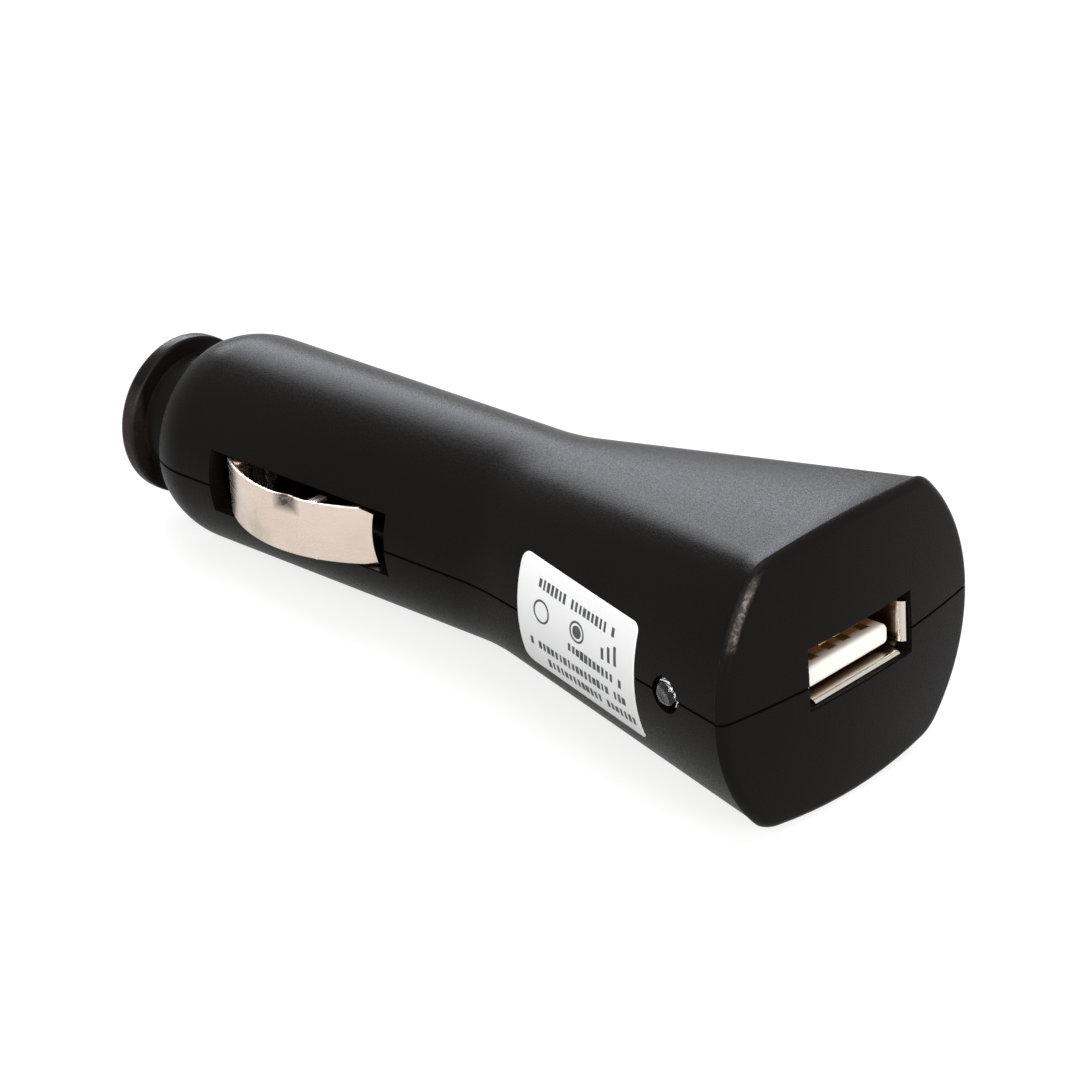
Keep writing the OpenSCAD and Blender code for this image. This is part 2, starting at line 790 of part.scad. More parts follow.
// Port: a folded metal shell with a flared mouth
usb_mouth = flare_len - usb_set_back;
usb_rear = usb_mouth - usb_depth;
usb_leg_x = usb_rear - 0.9;
usb_corner_r = usb_h * 0.14;
usb_inner_r = usb_corner_r - usb_t;
module usb_outline(w, h, r) {
    translate([-usb_z, 0])
        round_rect(h, w, r);
}
module usb_shell() {
    color(tin)
        difference() {
            union() {
                along_x(usb_rear)
                    linear_extrude(usb_depth - mouth_len)
                        usb_outline(usb_w, usb_h, usb_corner_r);
                mouth_form(0);
            }
            along_x(usb_rear + usb_t)
                linear_extrude(usb_depth)
                    usb_outline(usb_w - 2 * usb_t, usb_h - 2 * usb_t, usb_inner_r);
            mouth_form(usb_t);
            box([usb_rear - 1, -tongue_w / 2 + 0.5, usb_z - usb_h / 2 + 1],
                [usb_rear + 1, tongue_w / 2 - 0.5, usb_z + usb_h / 2 + 1]);
            for (s = [-1, 1])
                for (z = [usb_z - usb_h / 2 - 1, usb_z + usb_h / 2 - 1])
                    latch_window(s, z);
        }
    color(tin)
        for (s = [-1, 1])
            for (up = [-1, 1])
                latch_finger(s, up);
}

// Flared mouth, inset by t
module mouth_form(t) {
    hull() {
        along_x(usb_mouth - mouth_len - (t > 0 ? eps : 0))
            linear_extrude(eps)
                usb_outline(usb_w - 2 * t, usb_h - 2 * t, usb_corner_r - t);
        along_x(usb_mouth - (t > 0 ? 0 : eps))
            linear_extrude(eps)
                usb_outline(usb_w + 2 * mouth_flare_side - 2 * t, usb_h + 2 * mouth_flare - 1.2 * t,
                    usb_corner_r - t);
    }
}

// Windows in the top and bottom of the port's shell, each with a sprung finger that grips the plug
latch_len = 4.6;
latch_x = usb_mouth - 4 - latch_len;
latch_w = 2.3;
latch_y = 3.2;
module latch_window(s, z) {
    box([latch_x, s * latch_y - latch_w / 2, z], [latch_x + latch_len, s * latch_y + latch_w / 2, z + 2]);
}

// Finger, as seen from the side: it leans into the port and its tip turns out again
module latch_finger(s, up) {
    w = latch_w - 0.5;
    y0 = s * latch_y - w / 2;
    lean = 0.55;
    tip_lean = 0.3;
    outer = usb_h / 2;
    x0 = latch_x + latch_len;
    tip_x = latch_x + 0.4;
    bend_x = latch_x + 1.3;
    translate([0, y0 + w, usb_z])
        mirror([0, 0, up < 0 ? 1 : 0])
            rotate([90, 0, 0])
                linear_extrude(w)
                    polygon([[x0 + eps, outer], [x0 + eps, outer - usb_t],
                        [bend_x, outer - usb_t - lean], [tip_x, outer - usb_t - tip_lean],
                        [tip_x, outer - tip_lean], [bend_x, outer - lean]]);
}

// White block and tongue in the port
tongue_low = usb_z - usb_h / 2 + usb_t + tongue_drop;
module usb_tongue() {
    base_from = usb_rear + usb_t;
    tip = usb_mouth - tongue_back;
    in_w = usb_w - 2 * usb_t;
    in_h = usb_h - 2 * usb_t;
    color("ivory")
        difference() {
            union() {
                along_x(base_from)
                    linear_extrude(tongue_base)
                        usb_outline(in_w, in_h, usb_inner_r);
                along_x(base_from + tongue_base - eps)
                    linear_extrude(tip - base_from - tongue_base + eps)
                        translate([-tongue_low - tongue_t / 2, 0])
                            round_rect(tongue_t, tongue_w, 0.6);
            }
            for (y = contact_y)
                box([base_from - 1, y - contact_w / 2 - 0.05, tongue_low + tongue_t - contact_t],
                    [tip - 0.9, y + contact_w / 2 + 0.05, tongue_low + tongue_t + 0.35]);
        }
}

// Contact on top of the tongue, with a leg behind the port up through the board
module usb_contact(i) {
    y = contact_y[i];
    low = tongue_low + tongue_t - contact_t;
    leg = usb_leg_x;
    tip = usb_mouth - tongue_back - 1;
    color("gold") {
        box([leg - contact_t / 2, y - contact_w / 2, low], [tip, y + contact_w / 2, low + contact_t]);
        box([leg - contact_t / 2, y - contact_w / 2, low],
            [leg + contact_t / 2, y + contact_w / 2, board_top + lead_end]);
        box([tip - 3.4, y - contact_w / 2, low + contact_t - eps],
            [tip - 1.2, y + contact_w / 2, low + contact_t + 0.12]);
    }
}

module usb_contact_1() {
    usb_contact(0);
}

module usb_contact_2() {
    usb_contact(1);
}

module usb_contact_3() {
    usb_contact(2);
}

module usb_contact_4() {
    usb_contact(3);
}

// Clear light with a round tip and a flange, pointing out of the near side
module led_lens() {
    r = led_d / 2;
    color("white", 0.6)
        rotate([90, 0, 0])
            translate([led_x, 0, 0])
                rotate_extrude()
                    polygon(concat(
                        [[0, led_back], [led_flange_d / 2, led_back],
                            [led_flange_d / 2, led_back + led_flange_t], [r, led_back + led_flange_t]],
                        [for (a = [0:10:90]) [r * cos(a), led_tip_y - r + r * sin(a)]]
                    ));
}

// Two leads, bent up from the light to the board
lead_d = 0.5;
lead_hole_d = lead_d + 0.4;
lead_y = 7.4;
lead_bend = 0.8;
module led_leads() {
    color(tin)
        for (s = [-1, 1])
            translate([led_x + s * led_pitch / 2, 0, 0]) {
                translate([0, -lead_y - lead_bend, 0])
                    rotate([90, 0, 0])
                        cylinder(d = lead_d, h = led_back - lead_y - lead_bend, $fn = 16);
                translate([0, -lead_y - lead_bend, lead_bend])
                    rotate([90, 0, 90])
                        rotate([0, 0, -90])
                            rotate_extrude(angle = 90)
                                translate([lead_bend, 0])
                                    circle(d = lead_d, $fn = 16);
                translate([0, -lead_y, lead_bend])
                    cylinder(d = lead_d, h = board_top + lead_end - lead_bend, $fn = 16);
            }
}

// Parts that hang under the board
chip_at = [4.4, 0];
chip_size = [4.9, 3.9, 1.5];
chip_stand = 0.15;
module controller_chip() {
    color(black)
        box([chip_at.x - chip_size.x / 2, chip_at.y - chip_size.y / 2, board_low - chip_stand - chip_size.z],
            [chip_at.x + chip_size.x / 2, chip_at.y + chip_size.y / 2, board_low - chip_stand]);
}

// Four leads a side, each stepping from the chip's side up to the board
module chip_leads() {
    pitch = 1.27;
    lead_w = 0.4;
    rise = 0.45;
    reach = 1.05;
    t = 0.2;
    mid = board_low - chip_stand - chip_size.z / 2;
    edge = chip_size.y / 2;
    color(tin)
        for (i = [0:3])
            for (s = [0, 1])
                translate([chip_at.x + (i - 1.5) * pitch + lead_w / 2, chip_at.y, 0])
                    mirror([0, s, 0])
                        rotate([90, 0, -90])
                            linear_extrude(lead_w)
                                polygon([[edge, mid - t / 2], [edge + rise, mid - t / 2],
                                    [edge + rise, board_low - t], [edge + reach, board_low - t],
                                    [edge + reach, board_low], [edge + rise - t, board_low],
                                    [edge + rise - t, mid + t / 2], [edge, mid + t / 2]]);
}

// Coil: a ferrite drum and the winding round its waist
drum_at = [13.6, 0];
drum_d = 7;
drum_h = 5;
drum_lip = 0.8;
drum_waist_d = 3;
module drum_place() {
    translate([drum_at.x, drum_at.y, board_low - drum_h])
        children();
}
module inductor_core() {
    color("#3a3a3c")
        drum_place() {
            cylinder(d = drum_d, h = drum_lip);
            cylinder(d = drum_waist_d, h = drum_h);
            translate([0, 0, drum_h - drum_lip])
                cylinder(d = drum_d, h = drum_lip);
        }
}
module inductor_winding() {
    turns = 7;
    layer = (drum_h - 2 * drum_lip) / turns;
    color("#a8521c")
        drum_place()
            rotate_extrude()
                polygon(concat(
                    [[drum_waist_d / 2, drum_h - drum_lip], [drum_waist_d / 2, drum_lip]],
                    [for (i = [0:turns - 1])
                        each [[drum_d / 2 - 0.7, drum_lip + i * layer],
                            [drum_d / 2 - 0.5, drum_lip + (i + 0.5) * layer]]],
                    [[drum_d / 2 - 0.7, drum_h - drum_lip]]
                ));
}

// Can of a capacitor, as a profile with a rolled groove near its rubber end
module can(d, h) {
    edge = d * 0.06;
    groove = d * 0.05;
    groove_z = d * 0.3;
    rotate_extrude()
        polygon([[0, 0], [d / 2 - edge, 0], [d / 2, edge], [d / 2, groove_z - groove],
            [d / 2 - groove, groove_z], [d / 2, groove_z + groove],
            [d / 2, h - edge], [d / 2 - edge, h], [0, h]]);
}

in_can_d = 5;
in_can_len = 8;
in_can_x = -8.6;
module input_capacitor() {
    color("#22324a")
        translate([in_can_x, 0, board_low - in_can_d / 2])
            rotate([0, 90, 0])
                can(in_can_d, in_can_len);
}

out_can_d = 4;
out_can_len = 7;
out_can_x = 19.4;
module output_capacitor() {
    color("#22324a")
        translate([out_can_x, 0, board_low])
            rotate([180, 0, 0])
                can(out_can_d, out_can_len);
}

diode_size = [4.4, 2.4, 2.1];
diode_x = -4.6;
module diode() {
    outer_y = board_w_front / 2;
    color(black)
        box([diode_x, outer_y - diode_size.y, board_low - diode_size.z],
            [diode_x + diode_size.x, outer_y, board_low]);
}

resistor_places = [[8, -4.4], [-14.4, 2.6], [-14.4, -3.85]];
resistor_size = [2, 1.25, 0.5];
resistor_cap = 0.35;
module resistor(i) {
    low = [resistor_places[i].x, resistor_places[i].y, board_low - resistor_size.z];
    high = low + resistor_size;
    color(black)
        box(low + [resistor_cap, 0, 0], high - [resistor_cap, 0, 0]);
    color(tin) {
        box(low, [low.x + resistor_cap + eps, high.y, high.z]);
        box([high.x - resistor_cap - eps, low.y, low.z], high);
    }
}

module resistor_1() {
    resistor(0);
}

module resistor_2() {
    resistor(1);
}

module resistor_3() {
    resistor(2);
}

upper_housing();
lower_housing();
label();
nose_cap();
centre_pin();
pin_spring();
fuse_glass();
fuse_end_front();
fuse_end_rear();
fuse_wire();
fuse_contact();
positive_wire();
side_contact_near();
side_contact_far();
ground_wire_near();
ground_wire_far();
circuit_board();
usb_shell();
usb_tongue();
usb_contact_1();
usb_contact_2();
usb_contact_3();
usb_contact_4();
led_lens();
led_leads();
controller_chip();
chip_leads();
inductor_core();
inductor_winding();
input_capacitor();
output_capacitor();
diode();
resistor_1();
resistor_2();
resistor_3();
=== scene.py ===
import json
import math

import bmesh
import bpy
import numpy as np
from mathutils import Matrix, Vector

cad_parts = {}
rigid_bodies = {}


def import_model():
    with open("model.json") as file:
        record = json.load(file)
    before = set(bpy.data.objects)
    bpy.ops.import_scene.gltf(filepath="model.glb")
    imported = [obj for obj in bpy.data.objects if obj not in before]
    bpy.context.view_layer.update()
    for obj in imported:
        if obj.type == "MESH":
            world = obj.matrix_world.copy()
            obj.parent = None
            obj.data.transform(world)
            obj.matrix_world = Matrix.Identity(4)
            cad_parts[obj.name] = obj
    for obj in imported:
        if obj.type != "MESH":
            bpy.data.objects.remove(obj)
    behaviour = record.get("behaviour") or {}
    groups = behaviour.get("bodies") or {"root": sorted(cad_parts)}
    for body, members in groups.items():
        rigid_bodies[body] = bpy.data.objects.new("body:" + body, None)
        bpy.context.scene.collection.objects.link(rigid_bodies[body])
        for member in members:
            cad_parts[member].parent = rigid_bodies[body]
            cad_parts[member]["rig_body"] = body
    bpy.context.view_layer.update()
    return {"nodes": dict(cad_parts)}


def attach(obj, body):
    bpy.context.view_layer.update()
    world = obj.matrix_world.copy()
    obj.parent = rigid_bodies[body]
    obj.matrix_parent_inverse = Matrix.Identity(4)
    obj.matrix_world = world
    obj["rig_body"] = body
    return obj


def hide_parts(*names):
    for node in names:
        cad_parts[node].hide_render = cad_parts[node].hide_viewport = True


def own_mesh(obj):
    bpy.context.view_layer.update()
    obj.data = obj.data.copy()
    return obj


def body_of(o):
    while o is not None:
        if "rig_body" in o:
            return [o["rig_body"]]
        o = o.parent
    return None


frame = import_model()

nodes = frame["nodes"]
mm = 0.001
print("frame loaded:", len(nodes), "nodes")


# Small helpers for meshes, which are drawn in millimetres; finishPiece brings them to metres

def meshObject(name, points, faces):
    mesh = bpy.data.meshes.new(name)
    mesh.from_pydata([tuple(p) for p in points], [], [tuple(f) for f in faces])
    mesh.update()
    piece = bpy.data.objects.new(name, mesh)
    bpy.context.scene.collection.objects.link(piece)
    return piece


def drop(piece):
    mesh = piece.data
    bpy.data.objects.remove(piece)
    bpy.data.meshes.remove(mesh)


def bakeModifiers(piece):
    bpy.context.view_layer.update()
    shown = piece.evaluated_get(bpy.context.evaluated_depsgraph_get())
    mesh = bpy.data.meshes.new_from_object(shown)
    piece.modifiers.clear()
    old = piece.data
    piece.data = mesh
    mesh.name = piece.name
    bpy.data.meshes.remove(old)
    return piece


def cut(piece, cutters, how="DIFFERENCE"):
    for cutter in cutters:
        step = piece.modifiers.new("cut", "BOOLEAN")
        step.operation = how
        step.solver = "MANIFOLD"
        step.object = cutter
        bakeModifiers(piece)
        drop(cutter)
    return piece


def join(name, parts):
    # one object from several, with their places kept
    points, faces, start = [], [], 0
    for part in parts:
        points += [v.co.copy() for v in part.data.vertices]
        faces += [[start + i for i in f.vertices] for f in part.data.polygons]
        start += len(part.data.vertices)
        drop(part)
    return meshObject(name, points, faces)


def meshPoints(piece):
    # all points of a mesh as rows of x, y, z
    points = np.empty(len(piece.data.vertices) * 3)
    piece.data.vertices.foreach_get("co", points)
    return points.reshape(-1, 3)


def smooth(piece, angle):
    piece.data.shade_smooth()
    piece.data.set_sharp_from_angle(angle=math.radians(angle))
    return piece


def outward(piece):
    # faces of a closed mesh turned to point out of it
    shape = bmesh.new()
    shape.from_mesh(piece.data)
    bmesh.ops.recalc_face_normals(shape, faces=shape.faces)
    shape.to_mesh(piece.data)
    shape.free()
    return piece


def bevel(piece, width, angle=35):
    step = piece.modifiers.new("edges", "BEVEL")
    step.width = width
    step.segments = 2
    step.limit_method = "ANGLE"
    step.angle_limit = math.radians(angle)
    step.harden_normals = False
    return bakeModifiers(piece)


def finishPiece(piece, body, slot, material, *stands):
    # millimetres to metres, then material, body and the nodes it stands for
    piece.data.transform(Matrix.Scale(mm, 4))
    piece.data.materials.clear()
    piece.data.materials.append(material)
    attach(piece, body)
    if stands:
        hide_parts(*stands)
    return piece


def cuboid(low, high):
    x0, y0, z0 = low
    x1, y1, z1 = high
    points = [(x, y, z) for x in (x0, x1) for y in (y0, y1) for z in (z0, z1)]
    faces = [(0, 1, 3, 2), (4, 6, 7, 5), (0, 4, 5, 1), (2, 3, 7, 6), (0, 2, 6, 4), (1, 5, 7, 3)]
    return meshObject("cuboid", points, faces)


def lathe(name, profile, steps):
    # profile of (x, r) pairs turned round the X axis; an end with r = 0 is a point
    rings, points, faces = [], [], []
    looped = profile[0] == profile[-1]
    for x, r in profile[:-1] if looped else profile:
        if r < 1e-6:
            rings.append([len(points)] * steps)
            points.append((x, 0, 0))
        else:
            rings.append([len(points) + k for k in range(steps)])
            points += [(x, r * math.cos(2 * math.pi * k / steps), r * math.sin(2 * math.pi * k / steps))
                       for k in range(steps)]
    if looped:
        rings.append(rings[0])
    for one, two in zip(rings, rings[1:]):
        for k in range(steps):
            n = (k + 1) % steps
            ring = [one[k], one[n], two[n], two[k]]
            face = [v for i, v in enumerate(ring) if v not in ring[:i]]
            if len(face) > 2:
                faces.append(face)
    if not looped:
        faces += [ring for ring in (rings[0][::-1], rings[-1]) if ring[0] != ring[1]]
    return meshObject(name, points, faces)


def arc(centre, radius, start, end, steps):
    # points of an arc, angles in degrees from the first axis
    turns = [math.radians(start + (end - start) * i / steps) for i in range(steps + 1)]
    return [(centre[0] + radius * math.cos(t), centre[1] + radius * math.sin(t)) for t in turns]


def circle(centre, radius, count=36):
    return arc(centre, radius, 0, 360 - 360 / count, count - 1)


# Shader helpers

def addNode(tree, kind, inputs=None, **settings):
    # each input takes a plain value or another node's output
    node = tree.nodes.new(kind)
    for key, value in settings.items():
        setattr(node, key, value)
    for key, value in (inputs or {}).items():
        if isinstance(value, bpy.types.NodeSocket):
            tree.links.new(value, node.inputs[key])
        else:
            node.inputs[key].default_value = value
    return node


def calc(tree, how, a, b):
    return addNode(tree, "ShaderNodeMath", {0: a, 1: b}, operation=how).outputs[0]


def ramp(tree, value, low, high, outLow=0.0, outHigh=1.0):
    return addNode(tree, "ShaderNodeMapRange", {"Value": value, "From Min": low, "From Max": high,
                                                "To Min": outLow, "To Max": outHigh}).outputs["Result"]


def blendColour(tree, share, one, two):
    return addNode(tree, "ShaderNodeMix", {0: share, 6: one, 7: two}, data_type="RGBA").outputs[2]


def noise(tree, where, scale, detail, roughness):
    return addNode(tree, "ShaderNodeTexNoise", {"Vector": where, "Scale": scale, "Detail": detail,
                                                "Roughness": roughness}).outputs["Fac"]


def newGroup(name, ins, outs):
    # a shader group, its named inputs and the object coordinates; its outputs are plain numbers
    tree = bpy.data.node_groups.new(name, "ShaderNodeTree")
    for key, value in ins.items():
        kind = "NodeSocketVector" if isinstance(value, tuple) else "NodeSocketFloat"
        tree.interface.new_socket(key, in_out="INPUT", socket_type=kind).default_value = value
    for key in outs:
        tree.interface.new_socket(key, in_out="OUTPUT", socket_type="NodeSocketFloat")
    return tree, addNode(tree, "NodeGroupInput").outputs, addNode(tree, "ShaderNodeTexCoord").outputs["Object"]


# Spark-eroded grain of a moulding: height, a light and dark speckle, and slow clouds
def makeGrain():
    tree, given, where = newGroup("mouldGrain", {"Size": 3000.0, "Cloud": 90.0}, ("Height", "Speckle", "Clouds"))
    fine = noise(tree, where, given["Size"], detail=3.0, roughness=0.55)
    cells = addNode(tree, "ShaderNodeTexVoronoi",
                    {"Vector": where, "Scale": calc(tree, "MULTIPLY", given["Size"], 0.7)}, feature="F1")
    slow = noise(tree, where, given["Cloud"], detail=3.0, roughness=0.5)
    height = calc(tree, "ADD", calc(tree, "MULTIPLY", fine, 0.9),
                  calc(tree, "MULTIPLY", cells.outputs["Distance"], 0.25))
    addNode(tree, "NodeGroupOutput", {"Height": height, "Speckle": ramp(tree, fine, low=0.38, high=0.62),
                                      "Clouds": ramp(tree, slow, low=0.3, high=0.7)})
    return tree


# Streaks of rolled or plated metal along one axis, with faint stains
def makeStreaks():
    tree, given, where = newGroup("rolledStreaks", {"Along": 200.0, "Across": 6000.0, "Stain": 260.0},
                                  ("Streaks", "Stains"))
    split = addNode(tree, "ShaderNodeSeparateXYZ", {0: where}).outputs
    packed = addNode(tree, "ShaderNodeCombineXYZ", {
        axis: calc(tree, "MULTIPLY", split[axis], given[rate])
        for axis, rate in (("X", "Along"), ("Y", "Along"), ("Z", "Across"))}).outputs[0]
    lines = noise(tree, packed, scale=1.0, detail=4.0, roughness=0.6)
    stains = noise(tree, where, given["Stain"], detail=4.0, roughness=0.6)
    addNode(tree, "NodeGroupOutput", {"Streaks": ramp(tree, lines, low=0.3, high=0.7),
                                      "Stains": ramp(tree, stains, low=0.35, high=0.75)})
    return tree


# Patch mask for painted highlights and painted shade: a soft box in object coordinates, broken up by noise
def makePaintedPatch():
    tree, given, where = newGroup("paintedPatch", {"Middle": (0.0, 0.0, 0.0), "Reach": (0.01, 0.01, 0.01),
                                                "Size": 1500.0, "Evenness": 0.0}, ("Mask",))
    place = where
    for how, key in (("SUBTRACT", "Middle"), ("ABSOLUTE", None), ("DIVIDE", "Reach")):
        inputs = {0: place, 1: given[key]} if key else {0: place}
        place = addNode(tree, "ShaderNodeVectorMath", inputs, operation=how).outputs[0]
    split = addNode(tree, "ShaderNodeSeparateXYZ", {0: place}).outputs
    far = calc(tree, "MAXIMUM", calc(tree, "MAXIMUM", split[0], split[1]), split[2])
    speckle = ramp(tree, noise(tree, where, given["Size"], detail=5.0, roughness=0.65), low=0.42, high=0.62)
    broken = calc(tree, "MAXIMUM", speckle, given["Evenness"])
    addNode(tree, "NodeGroupOutput", {"Mask": calc(tree, "MULTIPLY", ramp(tree, far, low=1.0, high=0.45), broken)})
    return tree


mouldGrain = makeGrain()
rolledStreaks = makeStreaks()
paintedPatch = makePaintedPatch()


def newMaterial(name, look, constants):
    # a material whose plain values stand on the shader's own sockets
    material = bpy.data.materials.new(name)
    material.use_nodes = True
    colour = (*look["colour"], 1.0)
    material.diffuse_color = colour
    surface = material.node_tree.nodes["Principled BSDF"]
    for key, value in {"Base Color": colour, "Roughness": look["roughness"], **constants}.items():
        surface.inputs[key].default_value = value
    return material, material.node_tree, surface.inputs


def placeGroup(tree, group, **inputs):
    return addNode(tree, "ShaderNodeGroup", inputs, node_tree=group).outputs


def relief(tree, surface, height, depth):
    bump = addNode(tree, "ShaderNodeBump", {"Strength": 1.0, "Distance": depth, "Height": height})
    tree.links.new(bump.outputs["Normal"], surface["Normal"])


def paintLightAndShade(tree, colour, look):
    # patches of painted highlight and painted dark reflection, and painted shade that darkens the colour towards the
    # inside of the port, along X
    for paintedLight in look.get("paintedLight", ()):
        mask = placeGroup(tree, paintedPatch, Middle=paintedLight["middle"], Reach=paintedLight["reach"], Size=paintedLight["size"],
                          Evenness=paintedLight["even"])["Mask"]
        colour = blendColour(tree, calc(tree, "MULTIPLY", mask, paintedLight["share"]), colour, (*paintedLight["colour"], 1.0))
    # painted shade: the colour turns darker and browner deeper inside the port, along X
    if "deep" in look:
        deep, where = look["deep"], addNode(tree, "ShaderNodeTexCoord").outputs["Object"]
        along = addNode(tree, "ShaderNodeSeparateXYZ", {0: where}).outputs["X"]
        colour = blendColour(tree, ramp(tree, along, deep["from"], deep["to"]), colour, (*deep["colour"], 1.0))
    return colour


def dressSurface(tree, surface, look, tone, shine, height):
    # two tones with their painted highlights and painted shade, a roughness that varies, and fine relief
    mixed = blendColour(tree, tone, (*look["colour"], 1.0), (*look["colourTwo"], 1.0))
    tree.links.new(paintLightAndShade(tree, mixed, look), surface["Base Color"])
    spread = look["roughnessSpread"]
    rough = ramp(tree, shine, 0.0, 1.0, look["roughness"] - spread, look["roughness"] + spread)
    tree.links.new(rough, surface["Roughness"])
    relief(tree, surface, height, look["depth"])


# Moulded plastic with grain, and what most of these materials share
plasticBase = {"roughnessSpread": 0.04, "specular": 0.5, "cloud": 300.0, "depth": 0.000004}


def plastic(name, look):
    look = {**plasticBase, **look}
    material, tree, surface = newMaterial(name, look, {"Specular IOR Level": look["specular"]})
    grain = placeGroup(tree, mouldGrain, Size=look["grain"], Cloud=look["cloud"])
    dressSurface(tree, surface, look, grain["Clouds"], grain["Speckle"], grain["Height"])
    return material


# Plated or plain metal, and what most of these materials share
metalBase = {"roughnessSpread": 0.08, "depth": 0.000003}


def metal(name, look):
    look = {**metalBase, **look}
    material, tree, surface = newMaterial(name, look, {"Metallic": 1.0})
    marks = placeGroup(tree, rolledStreaks, Along=look["along"], Across=look["across"], Stain=look["stain"])
    dressSurface(tree, surface, look, marks["Stains"], marks["Streaks"], marks["Streaks"])
    return material


housingBlack = plastic("housingBlack", {
    "colour": (0.0052, 0.0040, 0.0034), "colourTwo": (0.0064, 0.0054, 0.0049), "roughness": 0.30,
    "roughnessSpread": 0.09, "specular": 0.055, "grain": 6200.0, "cloud": 60.0, "depth": 0.000014,
    # the patch is a painted highlight: a light strip along the rounded edge between the face and the near side
    "paintedLight": ({"middle": (0.03542, -0.0140, 0.0094), "reach": (0.00027, 0.0026, 0.0031), "size": 2600.0,
              "even": 0.2, "share": 0.8, "colour": (0.21, 0.19, 0.17)},)})
capBlack = plastic("capBlack", {
    "colour": (0.0064, 0.0048, 0.0040), "colourTwo": (0.0054, 0.0044, 0.0038), "roughness": 0.30,
    "roughnessSpread": 0.06, "specular": 0.09, "grain": 3600.0, "cloud": 120.0, "depth": 0.000006,
    # the patch is a painted highlight: a brownish light strip on the rim's near rounding
    "paintedLight": ({"middle": (-0.0514, -0.0078, 0.0010), "reach": (0.0016, 0.0017, 0.0080), "size": 900.0,
              "even": 0.6, "share": 0.8, "colour": (0.046, 0.036, 0.032)},)})
nickel = metal("nickel", {
    "colour": (0.95, 0.80, 0.69), "colourTwo": (0.86, 0.71, 0.60), "roughness": 0.26,
    "along": 150.0, "across": 5000.0, "stain": 160.0,
    # the first patch is a painted dark reflection in the dent near the bow's upper edge
    "paintedLight": ({"middle": (-0.0231, -0.0125, 0.0031), "reach": (0.0018, 0.0014, 0.0015), "size": 700.0,
              "even": 0.8, "share": 0.95, "colour": (0.060, 0.054, 0.048)},
             # the second patch is a painted dimmer reflection that darkens the bow's left part
             {"middle": (-0.0300, -0.0110, -0.0012), "reach": (0.0060, 0.0040, 0.0034), "size": 260.0,
              "even": 0.3, "share": 0.45, "colour": (0.50, 0.45, 0.37)})})
portSteel = metal("portSteel", {
    "colour": (0.86, 0.82, 0.76), "colourTwo": (0.82, 0.76, 0.66), "roughness": 0.24,
    "roughnessSpread": 0.05, "along": 600.0, "across": 4000.0, "stain": 500.0, "depth": 0.000001,
    # deep: painted shade, the steel turning dark brown deeper inside the port
    "deep": {"from": 0.0364, "to": 0.0351, "colour": (0.20, 0.110, 0.050)}})
tin = metal("tin", {
    "colour": (0.66, 0.66, 0.67), "colourTwo": (0.52, 0.51, 0.50), "roughness": 0.34,
    "along": 800.0, "across": 2500.0, "stain": 700.0})
brass = metal("brass", {
    "colour": (0.70, 0.50, 0.22), "colourTwo": (0.55, 0.37, 0.14), "roughness": 0.32,
    "along": 500.0, "across": 3000.0, "stain": 420.0})
gold = metal("gold", {
    "colour": (0.82, 0.55, 0.20), "colourTwo": (0.70, 0.42, 0.13), "roughness": 0.36,
    "roughnessSpread": 0.04, "along": 900.0, "across": 3000.0, "stain": 900.0, "depth": 0.000001})
copper = metal("copper", {
    "colour": (0.52, 0.18, 0.06), "colourTwo": (0.40, 0.12, 0.04), "roughness": 0.28,
    "roughnessSpread": 0.05, "along": 300.0, "across": 4200.0, "stain": 600.0, "depth": 0.000006})
portWhite = plastic("portWhite", {
    "colour": (0.94, 0.92, 0.88), "colourTwo": (0.91, 0.885, 0.84), "roughness": 0.34,
    "grain": 1500.0, "depth": 0.000003,
    # deep: painted shade with warm bounce light, the tongue turning dark brown deeper inside the port
    "deep": {"from": 0.0354, "to": 0.0341, "colour": (0.17, 0.085, 0.035)}})
boardGreen = plastic("boardGreen", {
    "colour": (0.012, 0.085, 0.030), "colourTwo": (0.016, 0.110, 0.040), "roughness": 0.30,
    "grain": 1800.0, "cloud": 250.0, "depth": 0.000006})
chipBlack = plastic("chipBlack", {
    "colour": (0.016, 0.016, 0.017), "colourTwo": (0.024, 0.024, 0.024), "roughness": 0.55,
    "roughnessSpread": 0.05, "grain": 5200.0, "cloud": 400.0, "depth": 0.000008})
ferrite = plastic("ferrite", {
    "colour": (0.040, 0.040, 0.043), "colourTwo": (0.055, 0.055, 0.058), "roughness": 0.5,
    "roughnessSpread": 0.08, "grain": 4200.0, "cloud": 500.0, "depth": 0.000010})
canSleeve = plastic("canSleeve", {
    "colour": (0.010, 0.016, 0.045), "colourTwo": (0.012, 0.020, 0.055), "roughness": 0.22,
    "roughnessSpread": 0.03, "grain": 900.0})
wireRed = plastic("wireRed", {
    "colour": (0.42, 0.012, 0.010), "colourTwo": (0.36, 0.010, 0.009), "roughness": 0.42, "grain": 2000.0})
wireBlack = plastic("wireBlack", {
    "colour": (0.014, 0.014, 0.014), "colourTwo": (0.020, 0.020, 0.020), "roughness": 0.42, "grain": 2000.0})
labelPaper = plastic("labelPaper", {
    "colour": (0.93, 0.945, 0.95), "colourTwo": (0.90, 0.92, 0.93), "roughness": 0.5,
    "roughnessSpread": 0.05, "specular": 0.4, "grain": 5000.0, "cloud": 200.0, "depth": 0.000003})
labelPrint = plastic("labelPrint", {
    "colour": (0.045, 0.047, 0.050), "colourTwo": (0.12, 0.125, 0.13), "roughness": 0.55,
    "roughnessSpread": 0.05, "specular": 0.3, "grain": 6000.0, "cloud": 1500.0, "depth": 0.000002})


